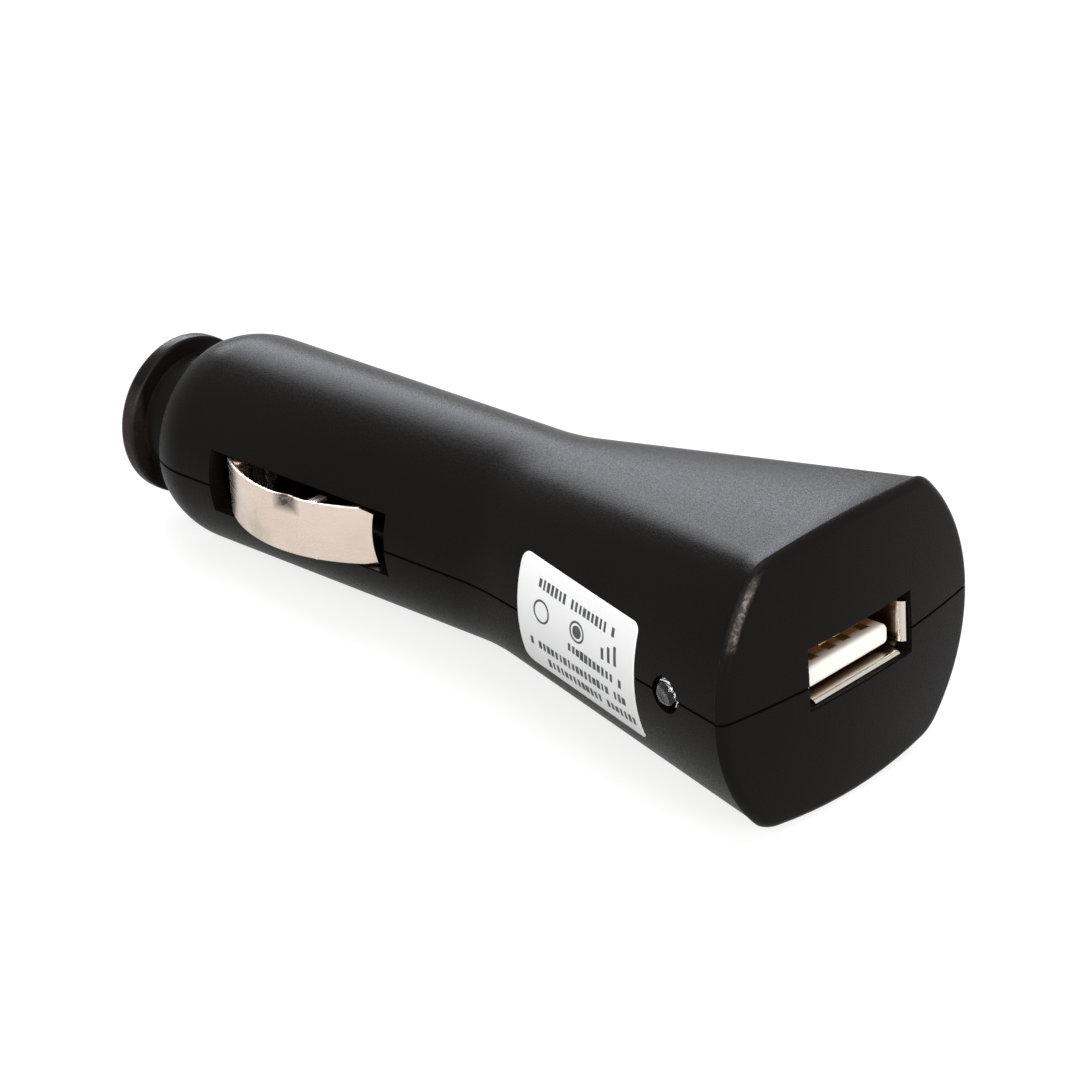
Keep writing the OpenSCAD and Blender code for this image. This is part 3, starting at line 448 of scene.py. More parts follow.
# Clear resin or glass, with faint flow marks
def clear(name, look):
    material, tree, surface = newMaterial(name, look, {"IOR": look["ior"], "Transmission Weight": 1.0})
    clouds = placeGroup(tree, mouldGrain, Size=look["grain"], Cloud=look["cloud"])["Clouds"]
    rough = ramp(tree, clouds, 0.0, 1.0, look["roughness"], look["roughness"] + look["roughnessSpread"])
    tree.links.new(rough, surface["Roughness"])
    relief(tree, surface, clouds, look["depth"])
    return material


clearResin = clear("clearResin", {"colour": (0.84, 0.85, 0.88), "roughness": 0.03, "roughnessSpread": 0.03,
                                  "ior": 1.5, "grain": 2500.0, "cloud": 700.0, "depth": 0.000004})
fuseGlass = clear("fuseGlass", {"colour": (0.93, 0.95, 0.94), "roughness": 0.02, "roughnessSpread": 0.03,
                                "ior": 1.47, "grain": 1500.0, "cloud": 250.0, "depth": 0.000003})
print("materials made")

# Form of the housing, in millimetres: a round barrel along X that spreads into a flare with a domed face
housingForm = {
    "barrelR": 10.5, "front": -45.1, "noseEdgeR": 9.3, "noseRound": 4.6, "noseFillet": 0.4, "rear": 37.27,
    "faceW": 34.3, "faceH": 27.6, "sideArc": 17.4, "topArc": 76.0, "corner": 4.0, "dome": 85.0, "edge": 0.9,
    "lead": 1.2, "blend": 2.8, "wall": 1.8, "faceWall": 1.6, "innerFront": -37.6, "around": 240, "noseRings": 12,
    "filletRings": 7, "barrelRings": 13, "blendRings": 15, "flareRings": 19, "edgeRings": 9,
    "domeRings": (0.96, 0.88, 0.75, 0.6, 0.45, 0.3, 0.15),
}


def faceOutline(turn, grow):
    # outline of the face where its outward normal stands at an angle, grown by a distance
    form = housingForm
    sideC, topC = form["faceW"] / 2 - form["sideArc"], form["faceH"] / 2 - form["topArc"]
    sideReach, topReach = form["sideArc"] - form["corner"], form["topArc"] - form["corner"]
    gap = math.hypot(sideC, topC)
    wayY, wayZ = -sideC / gap, topC / gap
    along = (sideReach ** 2 - topReach ** 2 + gap ** 2) / (2 * gap)
    off = math.sqrt(sideReach ** 2 - along ** 2)
    cornerY, cornerZ = sideC + wayY * along - wayZ * off, wayZ * along + wayY * off
    sideEnd = math.atan2(cornerZ, cornerY - sideC)
    topEnd = math.atan2(cornerZ - topC, cornerY)
    quarter = np.arctan2(abs(np.sin(turn)), abs(np.cos(turn)))
    onSide, onCorner = quarter < sideEnd, quarter < topEnd
    radius = np.where(onSide, form["sideArc"], np.where(onCorner, form["corner"], form["topArc"])) + grow
    y = np.where(onSide, sideC, np.where(onCorner, cornerY, 0.0)) + radius * np.cos(quarter)
    z = np.where(onSide, 0.0, np.where(onCorner, cornerZ, topC)) + radius * np.sin(quarter)
    return np.where(np.cos(turn) < 0, -y, y), np.where(np.sin(turn) < 0, -z, z)


def domeX(y, z, rear):
    return rear - (y ** 2 + z ** 2) / (2 * housingForm["dome"])


def flarePoint(turn, x, grow, rear):
    # y and z of the flare's surface at an angle and a place along the axis
    form = housingForm
    rimY, rimZ = faceOutline(turn, grow)
    start = -form["lead"] * np.sin(2 * turn) ** 2
    s, b = x - start, form["blend"]
    rise = np.where(s < -b, 0.0, np.where(s < b, (s + b) ** 2 / (4 * b), s))
    share = rise / (domeX(rimY, rimZ, rear) - start)
    barrel = (form["barrelR"] + grow) * (1 - share)
    return barrel * np.cos(turn) + share * rimY, barrel * np.sin(turn) + share * rimZ


def closedLoft(name, rings, tip=None):
    # rings of (x, y, z) arrays joined into one closed skin, with a flat start and a flat or pointed end
    steps = len(rings[0][0])
    points = np.concatenate([np.stack(ring, axis=1) for ring in rings])
    faces = [list(range(steps))[::-1]]
    for i in range(len(rings) - 1):
        for k in range(steps):
            n, a = (k + 1) % steps, i * steps
            faces.append((a + k, a + n, a + steps + n, a + steps + k))
    last = (len(rings) - 1) * steps
    if tip is None:
        faces.append([last + k for k in range(steps)])
    else:
        points = np.concatenate([points, [tip]])
        faces += [(last + k, last + (k + 1) % steps, last + steps) for k in range(steps)]
    return meshObject(name, points, faces)


def formMesh(name, grow=0.0, front=None, rear=None, rounded=True):
    form = housingForm
    turn = np.arange(form["around"]) * 2 * math.pi / form["around"]
    cosT, sinT = np.cos(turn), np.sin(turn)
    rear = form["rear"] + grow if rear is None else rear
    edge = form["edge"] + grow if rounded else 0.0
    profile = []
    if rounded:
        noseDrop = form["barrelR"] - form["noseEdgeR"]
        radius = (form["noseRound"] ** 2 + noseDrop ** 2) / (2 * noseDrop)
        full = math.asin(form["noseRound"] / radius)
        fillet = form["noseFillet"] if grow == 0 else 0.0
        for t in np.linspace(full - fillet / radius, 0, form["noseRings"]):
            profile.append((form["front"] + form["noseRound"] - (radius + grow) * math.sin(t),
                            form["barrelR"] + grow - (radius + grow) * (1 - math.cos(t))))
        if fillet:
            end, corner = Vector(profile[0]), Vector((form["front"], form["noseEdgeR"]))
            begin = corner - Vector((0, fillet))
            profile = [tuple(begin * (1 - s) ** 2 + corner * 2 * s * (1 - s) + end * s ** 2)
                       for s in np.linspace(0, 1, form["filletRings"])[:-1]] + profile
    else:
        profile.append((front, form["barrelR"] + grow))
    first = -form["lead"] - form["blend"]
    between = np.linspace(profile[-1][0], first, form["barrelRings"])[1:-1]
    profile += [(x, form["barrelR"] + grow) for x in between]
    rings = [(np.full_like(turn, x), r * cosT, r * sinT) for x, r in profile]
    outerY, outerZ = faceOutline(turn, grow)
    last = domeX(outerY, outerZ, rear) - edge
    for share in np.linspace(0, 1, form["blendRings"])[:-1]:
        x = np.full_like(turn, first + share * (form["blend"] - first))
        rings.append((x, *flarePoint(turn, x, grow, rear)))
    for share in np.linspace(0, 1, form["flareRings"]):
        x = form["blend"] + share * (last - form["blend"])
        rings.append((x, *flarePoint(turn, x, grow, rear)))
    if edge > 0:
        for t in np.linspace(0, math.pi / 2, form["edgeRings"])[1:]:
            y, z = faceOutline(turn, grow - edge * (1 - math.cos(t)))
            rings.append((domeX(y, z, rear) - edge * (1 - math.sin(t)), y, z))
    innerY, innerZ = faceOutline(turn, grow - edge)
    for share in form["domeRings"]:
        y, z = share * innerY, share * innerZ
        rings.append((domeX(y, z, rear), y, z))
    return closedLoft(name, rings, (rear, 0, 0))


# Openings, seam and inner parts of the housing
housingDetail = {
    "seam": 0.13, "seamDeep": 0.4, "rabbet": 0.12, "slotX": (-36.2, -12.2), "slotY": (-12.7, -7.1),
    "slotZ": (-2.7, 3.55), "portY": 6.95, "portZ": (-2.30, 3.66), "ledX": 27.8, "ledHole": 1.7, "ledFrom": 5,
    "boardLow": 3.54, "boardTop": 4.74, "postR": 2.0, "postTo": 20, "spigotR": 0.95,
    "posts": ((-11.5, 0.0), (9.5, 5.6), (9.5, -5.6), (19.6, 5.6), (19.6, -5.6)),
    "cradles": (-37.0, -32.6, -21.2), "cradleSize": (1.4, 7.2), "portRibs": (24.6, 31.6), "portRibSize": (1.6, 8.55),
    "pegX": -33.0, "pegY": 6.5, "pegR": 0.9, "bossBack": 11.74, "bossR": 3.1, "spigotOver": 0.6, "spigotTaper": 0.2,
    "slotRabbetDeep": 0.6, "portDeep": 4.2, "portRibGap": 0.12, "seamCut": (-46, 38, 18), "halfCut": (-47, 39, 20),
    "bore": ((-46.1, 7.08), (-37.59, 7.08), (-37.59, 2.75), (-24.0, 2.75), (-24.0, 3.45), (-21.2, 3.45),
             (-21.2, 0.9), (-17.7, 0.9)),
}


def turnedTo(piece, rows, shift):
    # turns and moves the points of a mesh, in millimetres
    piece.data.transform(Matrix.Translation(shift) @ Matrix(rows).to_4x4())
    return piece


upwards = ((0, 0, -1), (0, 1, 0), (1, 0, 0))  # what was drawn along X stands up along Z
nearwards = ((0, 1, 0), (-1, 0, 0), (0, 0, 1))  # what was drawn along X points out of the near side


def makeHousing():
    form, look = housingForm, housingDetail
    whole = formMesh("housing")
    room = formMesh("room", -form["wall"], form["innerFront"], form["rear"] - form["faceWall"], False)
    inner = []
    low, top, spigotR, postR = look["boardLow"], look["boardTop"], look["spigotR"], look["postR"]
    over, taper = look["spigotOver"], look["spigotTaper"]
    for x, y in look["posts"]:
        post = lathe("post", [(low - over, spigotR - taper), (low - over + taper, spigotR), (top, spigotR),
                              (top, postR), (look["postTo"], postR)], steps=48)
        inner.append(turnedTo(post, upwards, (x, y, 0)))
    for x in look["cradles"]:
        thick, wide = look["cradleSize"]
        inner.append(cuboid((x, -wide / 2, -form["barrelR"]), (x + thick, wide / 2, form["barrelR"])))
    for x in look["portRibs"]:
        thick, wide = look["portRibSize"]
        inner.append(cuboid((x, -wide, -form["faceH"] / 2), (x + thick, wide, look["portZ"][0] + look["portRibGap"])))
    for side in (-1, 1):
        peg = lathe("peg", [(-form["barrelR"], look["pegR"]), (form["barrelR"], look["pegR"])], steps=48)
        inner.append(turnedTo(peg, upwards, (look["pegX"], side * look["pegY"], 0)))
    boss = lathe("boss", [(look["bossBack"], look["bossR"]), (form["faceW"] / 2, look["bossR"])], steps=64)
    inner.append(turnedTo(boss, nearwards, (look["ledX"], 0, 0)))
    cut(room, [join("innerParts", inner)])
    cut(whole, [room])

    openings, rabbets = [lathe("bore", look["bore"], steps=120)], []
    for grow, group in ((0, openings), (look["rabbet"], rabbets)):
        low, high = look["slotY"]
        for side in (-1, 1):
            y0, y1 = sorted((side * -low, side * -(high - (look["slotRabbetDeep"] if grow else 0))))
            group.append(cuboid((look["slotX"][0] - grow, y0, look["slotZ"][0] - grow),
                                (look["slotX"][1] + grow, y1, look["slotZ"][1] + grow)))
        group.append(cuboid((form["rear"] - look["portDeep"], -look["portY"] - grow, look["portZ"][0] - grow),
                            (form["rear"] + 1, look["portY"] + grow, look["portZ"][1] + grow)))
        ledR = look["ledHole"] + grow / 3
        hole = lathe("hole", [(look["ledFrom"], ledR), (form["faceW"], ledR)], steps=72)
        group.append(turnedTo(hole, nearwards, (look["ledX"], 0, 0)))
    cut(whole, [join("openings", openings)])
    cut(whole, [cut(join("rabbets", rabbets), [formMesh("rabbetFloor", -look["rabbet"])])])
    x0, x1, wide = look["seamCut"]
    seam = cuboid((x0, -wide, -look["seam"]), (x1, wide, look["seam"]))
    cut(whole, [cut(seam, [formMesh("seamFloor", -look["seamDeep"])])])

    x0, x1, wide = look["halfCut"]
    for name, node, low, high in (("upperHousing", "upper_housing", 0, wide),
                                  ("lowerHousing", "lower_housing", -wide, 0)):
        half = meshObject(name, [v.co for v in whole.data.vertices], [f.vertices for f in whole.data.polygons])
        cut(half, [cuboid((x0, -wide, low), (x1, wide, high))], "INTERSECT")
        smooth(half, angle=28)
        finishPiece(half, "housing", "housing_black", housingBlack, node)
    drop(whole)


makeHousing()
print("housing made")

# Label that follows the flare's near side: corners as (x, z, rounding), edge as shares of outline and thickness
labelForm = {
    "corners": ((6.5, 5.87, 0.9), (23.78, 5.05, 0.8), (23.1, -6.97, 0.45), (6.55, -5.03, 1.1)),
    "thick": 0.12, "sunk": 0.05, "edge": ((1.0, 0.6), (0.997, 0.93), (0.99, 1.0)), "rings": 22, "perCorner": 9,
    "perSide": 26, "halvings": 40,
}


def nearSideY(x, z, grow):
    # y of the flare's near side at each (x, z), by halving the angle
    low, high = np.full_like(x, -math.pi / 2), np.full_like(x, math.pi / 2)
    for _ in range(labelForm["halvings"]):
        middle = (low + high) / 2
        y, height = flarePoint(middle, x, grow, housingForm["rear"] + grow)
        low, high = np.where(height < z, middle, low), np.where(height < z, high, middle)
    return -y


def roundedOutline(corners, perCorner, perSide):
    # points of a polygon with rounded corners, corners as (x, z, radius)
    turns, points = [], []
    for i, (x, z, radius) in enumerate(corners):
        here = Vector((x, z))
        before, after = [(Vector(corners[k % len(corners)][:2]) - here).normalized() for k in (i - 1, i + 1)]
        half = before.angle(after) / 2
        centre = here + (before + after).normalized() * (radius / math.sin(half))
        first, last = [here + way * (radius / math.tan(half)) - centre for way in (before, after)]
        start = math.degrees(math.atan2(first.y, first.x))
        sweep = (math.degrees(math.atan2(last.y, last.x)) - start + 180) % 360 - 180
        turns.append(arc(centre, radius, start, start + sweep, perCorner - 1))
    for turn, following in zip(turns, turns[1:] + turns[:1]):
        last, target = Vector(turn[-1]), Vector(following[0])
        points += turn + [tuple(last.lerp(target, s)) for s in np.linspace(0, 1, perSide)[1:-1]]
    return np.array(points)


def makeLabel():
    look = labelForm
    outline = roundedOutline(look["corners"], look["perCorner"], look["perSide"])
    middle = outline.mean(axis=0)

    def wrapped(share, grow):
        flat = middle + (outline - middle) * share
        return (flat[:, 0], nearSideY(flat[:, 0], flat[:, 1], grow), flat[:, 1])

    shares = np.linspace(1, 0, look["rings"] + 1)[:-1]
    rings = [wrapped(s, -look["sunk"]) for s in shares[::-1]]
    rings += [wrapped(s, look["thick"] * height) for s, height in look["edge"]]
    rings += [wrapped(s, look["thick"]) for s in shares[1:]]
    label = outward(closedLoft("labelSheet", rings))
    smooth(label, angle=40)
    return finishPiece(label, "housing", "label_paper", labelPaper, "label")


# Print on the label, only as fields of grey: rows of small blocks as (start, end, seed), a dot as (middle, radius),
# rings as (middle, outer, inner) and bars as (places, z, wide, high)
printForm = {
    "proud": 0.018, "sunk": 0.03, "pitch": 0.60, "high": 0.98,
    "rows": (((9.75, 3.92), (21.05, 3.18), 3), ((14.2, -0.62), (22.4, -1.66), 7),
             ((7.75, -2.15), (22.6, -3.40), 11), ((10.4, -4.05), (22.7, -5.18), 19)),
    "dot": ((15.4, 1.32), 0.62), "rings": (((10.15, 1.32), 1.15, 0.95), ((15.4, 1.32), 1.05, 0.85)),
    "bars": ((19.1, 20.0, 20.9), 1.05, 0.36, 1.9), "barShare": (0.6, 0.2), "steps": (0.2, 0.4, 0.6, 0.8, 1.0),
}


def startTree(name, **inputs):
    # a Geometry Nodes tree with named whole or plain numbers and a material as inputs
    tree = bpy.data.node_groups.new(name, "GeometryNodeTree")
    for key, value in inputs.items():
        kind = "NodeSocketInt" if isinstance(value, int) else "NodeSocketFloat"
        tree.interface.new_socket(key, in_out="INPUT", socket_type=kind).default_value = value
    tree.interface.new_socket("Material", in_out="INPUT", socket_type="NodeSocketMaterial")
    tree.interface.new_socket("Geometry", in_out="OUTPUT", socket_type="NodeSocketGeometry")
    return tree, addNode(tree, "NodeGroupInput").outputs


def endTree(tree, shape, given):
    # every tree ends in real geometry with its material
    real = addNode(tree, "GeometryNodeRealizeInstances", {0: shape}).outputs[0]
    dressed = addNode(tree, "GeometryNodeSetMaterial", {"Geometry": real, "Material": given["Material"]})
    addNode(tree, "NodeGroupOutput", {0: dressed.outputs[0]})
    return tree


def printTree():
    # a line of blocks with uneven widths and heights and some left out
    tree, given = startTree("printRow", Count=10, Pitch=0.6, Height=0.6, LeftOut=0.14, Seed=1)
    step = addNode(tree, "ShaderNodeCombineXYZ", {"X": given["Pitch"]})
    line = addNode(tree, "GeometryNodeMeshLine", {"Count": given["Count"], "Offset": step.outputs[0]}, mode="OFFSET")
    gaps = addNode(tree, "FunctionNodeRandomValue", {"Probability": given["LeftOut"], "Seed": given["Seed"]},
                   data_type="BOOLEAN")
    thinned = addNode(tree, "GeometryNodeDeleteGeometry",
                      {"Geometry": line.outputs[0], "Selection": gaps.outputs[3]}, domain="POINT")
    sizes = addNode(tree, "FunctionNodeRandomValue",
                    {0: (0.42, 1.0, 0.74), 1: (0.84, 1.0, 1.0), "Seed": given["Seed"]}, data_type="FLOAT_VECTOR")
    span = addNode(tree, "ShaderNodeCombineXYZ", {"X": given["Pitch"], "Y": 1.0, "Z": given["Height"]})
    scaled = addNode(tree, "ShaderNodeVectorMath", {0: sizes.outputs[0], 1: span.outputs[0]}, operation="MULTIPLY")
    block = addNode(tree, "GeometryNodeMeshCube", {"Size": (1.0, 1.0, 1.0)})
    placed = addNode(tree, "GeometryNodeInstanceOnPoints", {
        "Points": thinned.outputs[0], "Instance": block.outputs[0], "Scale": scaled.outputs[0]})
    return endTree(tree, placed.outputs[0], given)


def runTree(name, tree, values):
    # the tree's result as a plain mesh
    piece = meshObject(name, [(0, 0, 0)], [])
    step = piece.modifiers.new("nodes", "NODES")
    step.node_group = tree
    for item in tree.interface.items_tree:
        if item.item_type == "SOCKET" and item.in_out == "INPUT" and item.name in values:
            step[item.identifier] = values[item.name]
    return bakeModifiers(piece)


def flatRing(outline, hole):
    # points and faces of a thin flat ring, with y from -0.5 (outside) to 0.5 (inside), from outlines of (x, z)
    count = len(outline)
    points = [(x, y, z) for y in (-0.5, 0.5) for x, z in outline]
    points += [(x, y, z) for y in (-0.5, 0.5) for x, z in hole]
    faces = []
    for k in range(count):
        n = (k + 1) % count
        faces += [(k, n, 2 * count + n, 2 * count + k), (count + n, count + k, 3 * count + k, 3 * count + n),
                  (k, count + k, count + n, n), (2 * count + n, 3 * count + n, 3 * count + k, 2 * count + k)]
    return points, faces


def makePrint():
    look = printForm
    tree, parts = printTree(), []
    for (x0, z0), (x1, z1), seed in look["rows"]:
        length, slope = math.hypot(x1 - x0, z1 - z0), math.atan2(z1 - z0, x1 - x0)
        row = runTree("row", tree, {"Count": int(length / look["pitch"]) + 1, "Pitch": look["pitch"],
                                    "Height": look["high"], "Seed": seed, "Material": labelPrint})
        row.data.transform(Matrix.Translation((x0, 0, z0)) @ Matrix.Rotation(-slope, 4, "Y"))
        parts.append(row)
    (x, z), radius = look["dot"]
    rings = []
    for s, y in [(s, -0.5) for s in look["steps"]] + [(s, 0.5) for s in look["steps"][::-1]]:
        rim = np.array(circle((x, z), radius * s))
        rings.append((rim[:, 0], np.full(len(rim), y), rim[:, 1]))
    parts.append(closedLoft("dot", rings))
    for (x, z), outer, inner in look["rings"]:
        parts.append(meshObject("ring", *flatRing(circle((x, z), outer), circle((x, z), inner))))
    places, z, wide, high = look["bars"]
    least, more = look["barShare"]
    square = np.array(((-0.5, -0.5), (0.5, -0.5), (0.5, 0.5), (-0.5, 0.5)))
    for i, x in enumerate(places):
        reach = high * (least + more * i)
        parts.append(closedLoft("bar", [(x + square[:, 0] * wide, square[:, 1], np.full(4, z - high / 2 + reach * s))
                                        for s in np.linspace(0, 1, 7)]))
    sign = join("labelPrint", parts)
    flat = meshPoints(sign)
    y0 = nearSideY(flat[:, 0], flat[:, 2], labelForm["thick"] + look["proud"])
    flat[:, 1] = np.where(flat[:, 1] < 0, y0, y0 + look["proud"] + look["sunk"])
    sign.data.vertices.foreach_set("co", flat.ravel())
    outward(sign)
    return finishPiece(sign, "housing", "label_paper", labelPrint)


makeLabel()
makePrint()
print("label made")


# Wire wound round an axis: thread of the cap, spring of the pin and winding of the coil
def spiralTree():
    tree, given = startTree("wireSpiral", Radius=1.0, Length=1.0, Turns=5.0, FlatEnd=0.0, WireRadius=0.2,
                            PointsATurn=32, WireSides=10)
    spiral = addNode(tree, "GeometryNodeCurveSpiral", {
        "Resolution": given["PointsATurn"], "Rotations": given["Turns"], "Start Radius": given["Radius"],
        "End Radius": given["Radius"], "Height": 0.0})
    along = addNode(tree, "GeometryNodeSplineParameter").outputs["Factor"]
    rest = calc(tree, "SUBTRACT", 1.0, given["FlatEnd"])
    rise = ramp(tree, along, given["FlatEnd"], rest, 0.0, given["Length"])
    lift = addNode(tree, "ShaderNodeCombineXYZ", {"Z": rise})
    placed = addNode(tree, "GeometryNodeSetPosition", {"Geometry": spiral.outputs[0], "Offset": lift.outputs[0]})
    section = addNode(tree, "GeometryNodeCurvePrimitiveCircle",
                      {"Resolution": given["WireSides"], "Radius": given["WireRadius"]})
    wire = addNode(tree, "GeometryNodeCurveToMesh", {
        "Curve": placed.outputs[0], "Profile Curve": section.outputs[0], "Fill Caps": True})
    return endTree(tree, wire.outputs[0], given)


wireSpiral = spiralTree()
alongX = ((0, 0, 1), (0, 1, 0), (-1, 0, 0))  # what was drawn along Z lies along X

# Nose cap; its foot and fillet are steps of (x, r) from where they start
capForm = {
    "face": -54.3, "hole": 3.05, "bossR": 4.7, "bossBase": 5.1, "rimFront": -52.4, "rimR": 8.2, "rimRound": 0.945,
    "rimBack": -50.3, "neckR": 6.4, "shoulder": -45.1, "coreR": 6.74, "ridge": 0.26, "threadEnd": -38.6,
    "threadTurns": 4.5, "threadLess": 0.65, "chamberR": 5.2, "chamberFront": -51.3, "chamfer": 0.12,
    "bossRound": 0.55, "bossFoot": ((-0.32, -0.16), (-0.1, -0.05), (0.0, 0.15)), "rimEdge": 0.35,
    "neckFillet": ((0.0, 0.2), (0.06, 0.06), (0.2, 0.0)), "coreChamfer": 0.4, "mouthChamfer": 0.15,
}


def makeCap():
    look = capForm
    face, rim, back, neck = look["face"], look["rimFront"], look["rimBack"], look["neckR"]
    rimR, core, shoulder, end = look["rimR"], look["coreR"], look["shoulder"], look["threadEnd"]
    bossR, bossRound, rimRound, rimEdge = look["bossR"], look["bossRound"], look["rimRound"], look["rimEdge"]
    hole, chamfer, chamber, chamberFront = look["hole"], look["chamfer"], look["chamberR"], look["chamberFront"]
    coreChamfer, mouth = look["coreChamfer"], look["mouthChamfer"]
    profile = [(face + chamfer, hole), (face, hole + chamfer), (face, bossR - bossRound)]
    profile += arc((face + bossRound, bossR - bossRound), bossRound, 180, 92, 7)
    profile += [(rim + x, look["bossBase"] + r) for x, r in look["bossFoot"]]
    profile += arc((rim + rimRound, rimR - rimRound), rimRound, 180, 90, 12)
    profile += arc((back - rimEdge, rimR - rimEdge), rimEdge, 90, 0, 6)
    profile += [(back + x, neck + r) for x, r in look["neckFillet"]]
    profile += [(shoulder, neck), (shoulder + coreChamfer, core), (end - coreChamfer, core),
                (end, core - coreChamfer), (end, chamber + mouth), (end - mouth, chamber),
                (chamberFront, chamber), (chamberFront, hole), (face + chamfer, hole)]
    cap = lathe("noseCap", profile, steps=160)
    less = look["threadLess"]
    ridge = runTree("ridge", wireSpiral, {
        "Radius": core, "Length": end - shoulder - 2 * less, "Turns": look["threadTurns"],
        "WireRadius": look["ridge"], "PointsATurn": 72, "WireSides": 8, "Material": capBlack})
    turnedTo(ridge, alongX, (shoulder + less, 0, 0))
    cut(cap, [ridge], "UNION")
    smooth(cap, angle=30)
    return finishPiece(cap, "nose_cap", "cap_black", capBlack, "nose_cap")


pinForm = {
    "tip": -57.398, "r": 3.0, "round": 2.6, "roundDeep": 0.8, "front": -51.3, "flangeR": 4.7, "chamfer": 0.12,
    "back": -50.1, "tailR": 1.6, "tailEnd": -47.1, "tailChamfer": 0.4, "springR": 2.0, "wireR": 0.25,
    "springLen": 8.2, "turns": 5.0, "flatEnd": 0.15, "travel": 2.5,
}


def makePin():
    look = pinForm
    tip, tipR, tailR, end = look["tip"], look["round"], look["tailR"], look["tailEnd"]
    front, back, flange = look["front"], look["back"], look["flangeR"]
    chamfer, tail = look["chamfer"], look["tailChamfer"]
    profile = [(tip, 0.0)]
    profile += [(tip + tipR * look["roundDeep"] * (1 - math.cos(t)), look["r"] - tipR + tipR * math.sin(t))
                for t in np.linspace(0, math.pi / 2, 14)]
    profile += [(front, look["r"]), (front, flange - chamfer), (front + chamfer, flange), (back - chamfer, flange),
                (back, flange - chamfer), (back, tailR), (end - tail, tailR), (end, tailR - tail), (end, 0.0)]
    pin = smooth(lathe("centrePin", profile, steps=96), angle=30)
    finishPiece(pin, "centre_pin", "contact_nickel", nickel, "centre_pin")
    spring = runTree("pinSpring", wireSpiral, {
        "Radius": look["springR"], "Length": look["springLen"] - 2 * look["wireR"], "Turns": look["turns"],
        "FlatEnd": look["flatEnd"], "WireRadius": look["wireR"], "PointsATurn": 40, "WireSides": 12, "Material": tin})
    turnedTo(spring, alongX, (back + look["wireR"], 0, 0))
    smooth(spring, angle=40)
    finishPiece(spring, "nose_cap", "solder_tin", tin, "pin_spring")
    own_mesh(spring)


makeCap()
makePin()
print("cap, pin and spring made")

# Side contact, seen from above: an eye round its peg, a leg, and a bow out through the slot; its dent is
# (x, z, reach along x, reach along z, deep) and a tab's size (wide, deep, thick)
contactForm = {
    "peg": (-33.0, -6.5), "eyeR": 1.16, "eyeFrom": -21.8, "bowR": 16.8, "bowCentre": (-24.6, 4.3), "legX": -34.16,
    "bend": 0.6, "endX": -14.4, "hollow": 0.35, "clip": 1.3, "clipDeg": 30.0, "low": -2.55, "high": 3.40,
    "thick": 0.4, "edge": 0.09, "across": 26, "stretchFrom": -18.0, "dent": (-23.0, 3.4, 1.2, 1.1, 0.35),
    "tabs": (-33.16, -20.8), "tabSize": (1.1, 1.7, 0.4), "tabEdge": 0.07, "tabFrom": 0.9,
}


def contactPath():
    # points of the strip's middle line and its left-hand normals
    look = contactForm
    (px, py), (cx, cy) = look["peg"], look["bowCentre"]
    bend, bowR, legX = look["bend"], look["bowR"], look["legX"]
    path = arc((px, py), look["eyeR"], look["eyeFrom"], 180, 30)
    bendX = legX + bend
    bendY = cy - math.sqrt((bowR - bend) ** 2 - (bendX - cx) ** 2)
    path += [(legX, py + (bendY - py) * s) for s in np.linspace(0, 1, 6)[1:-1]]
    turnTo = 360 + math.degrees(math.atan2(bendY - cy, bendX - cx))
    path += arc((bendX, bendY), bend, 180, turnTo, 8)
    endDeg = 360 - math.degrees(math.acos((look["endX"] - cx) / bowR))
    path += arc((cx, cy), bowR, turnTo, endDeg, 72)[1:]
    path = np.array(path)
    along = np.gradient(path, axis=0)
    along /= np.linalg.norm(along, axis=1)[:, None]
    return path, np.stack([-along[:, 1], along[:, 0]], axis=1)


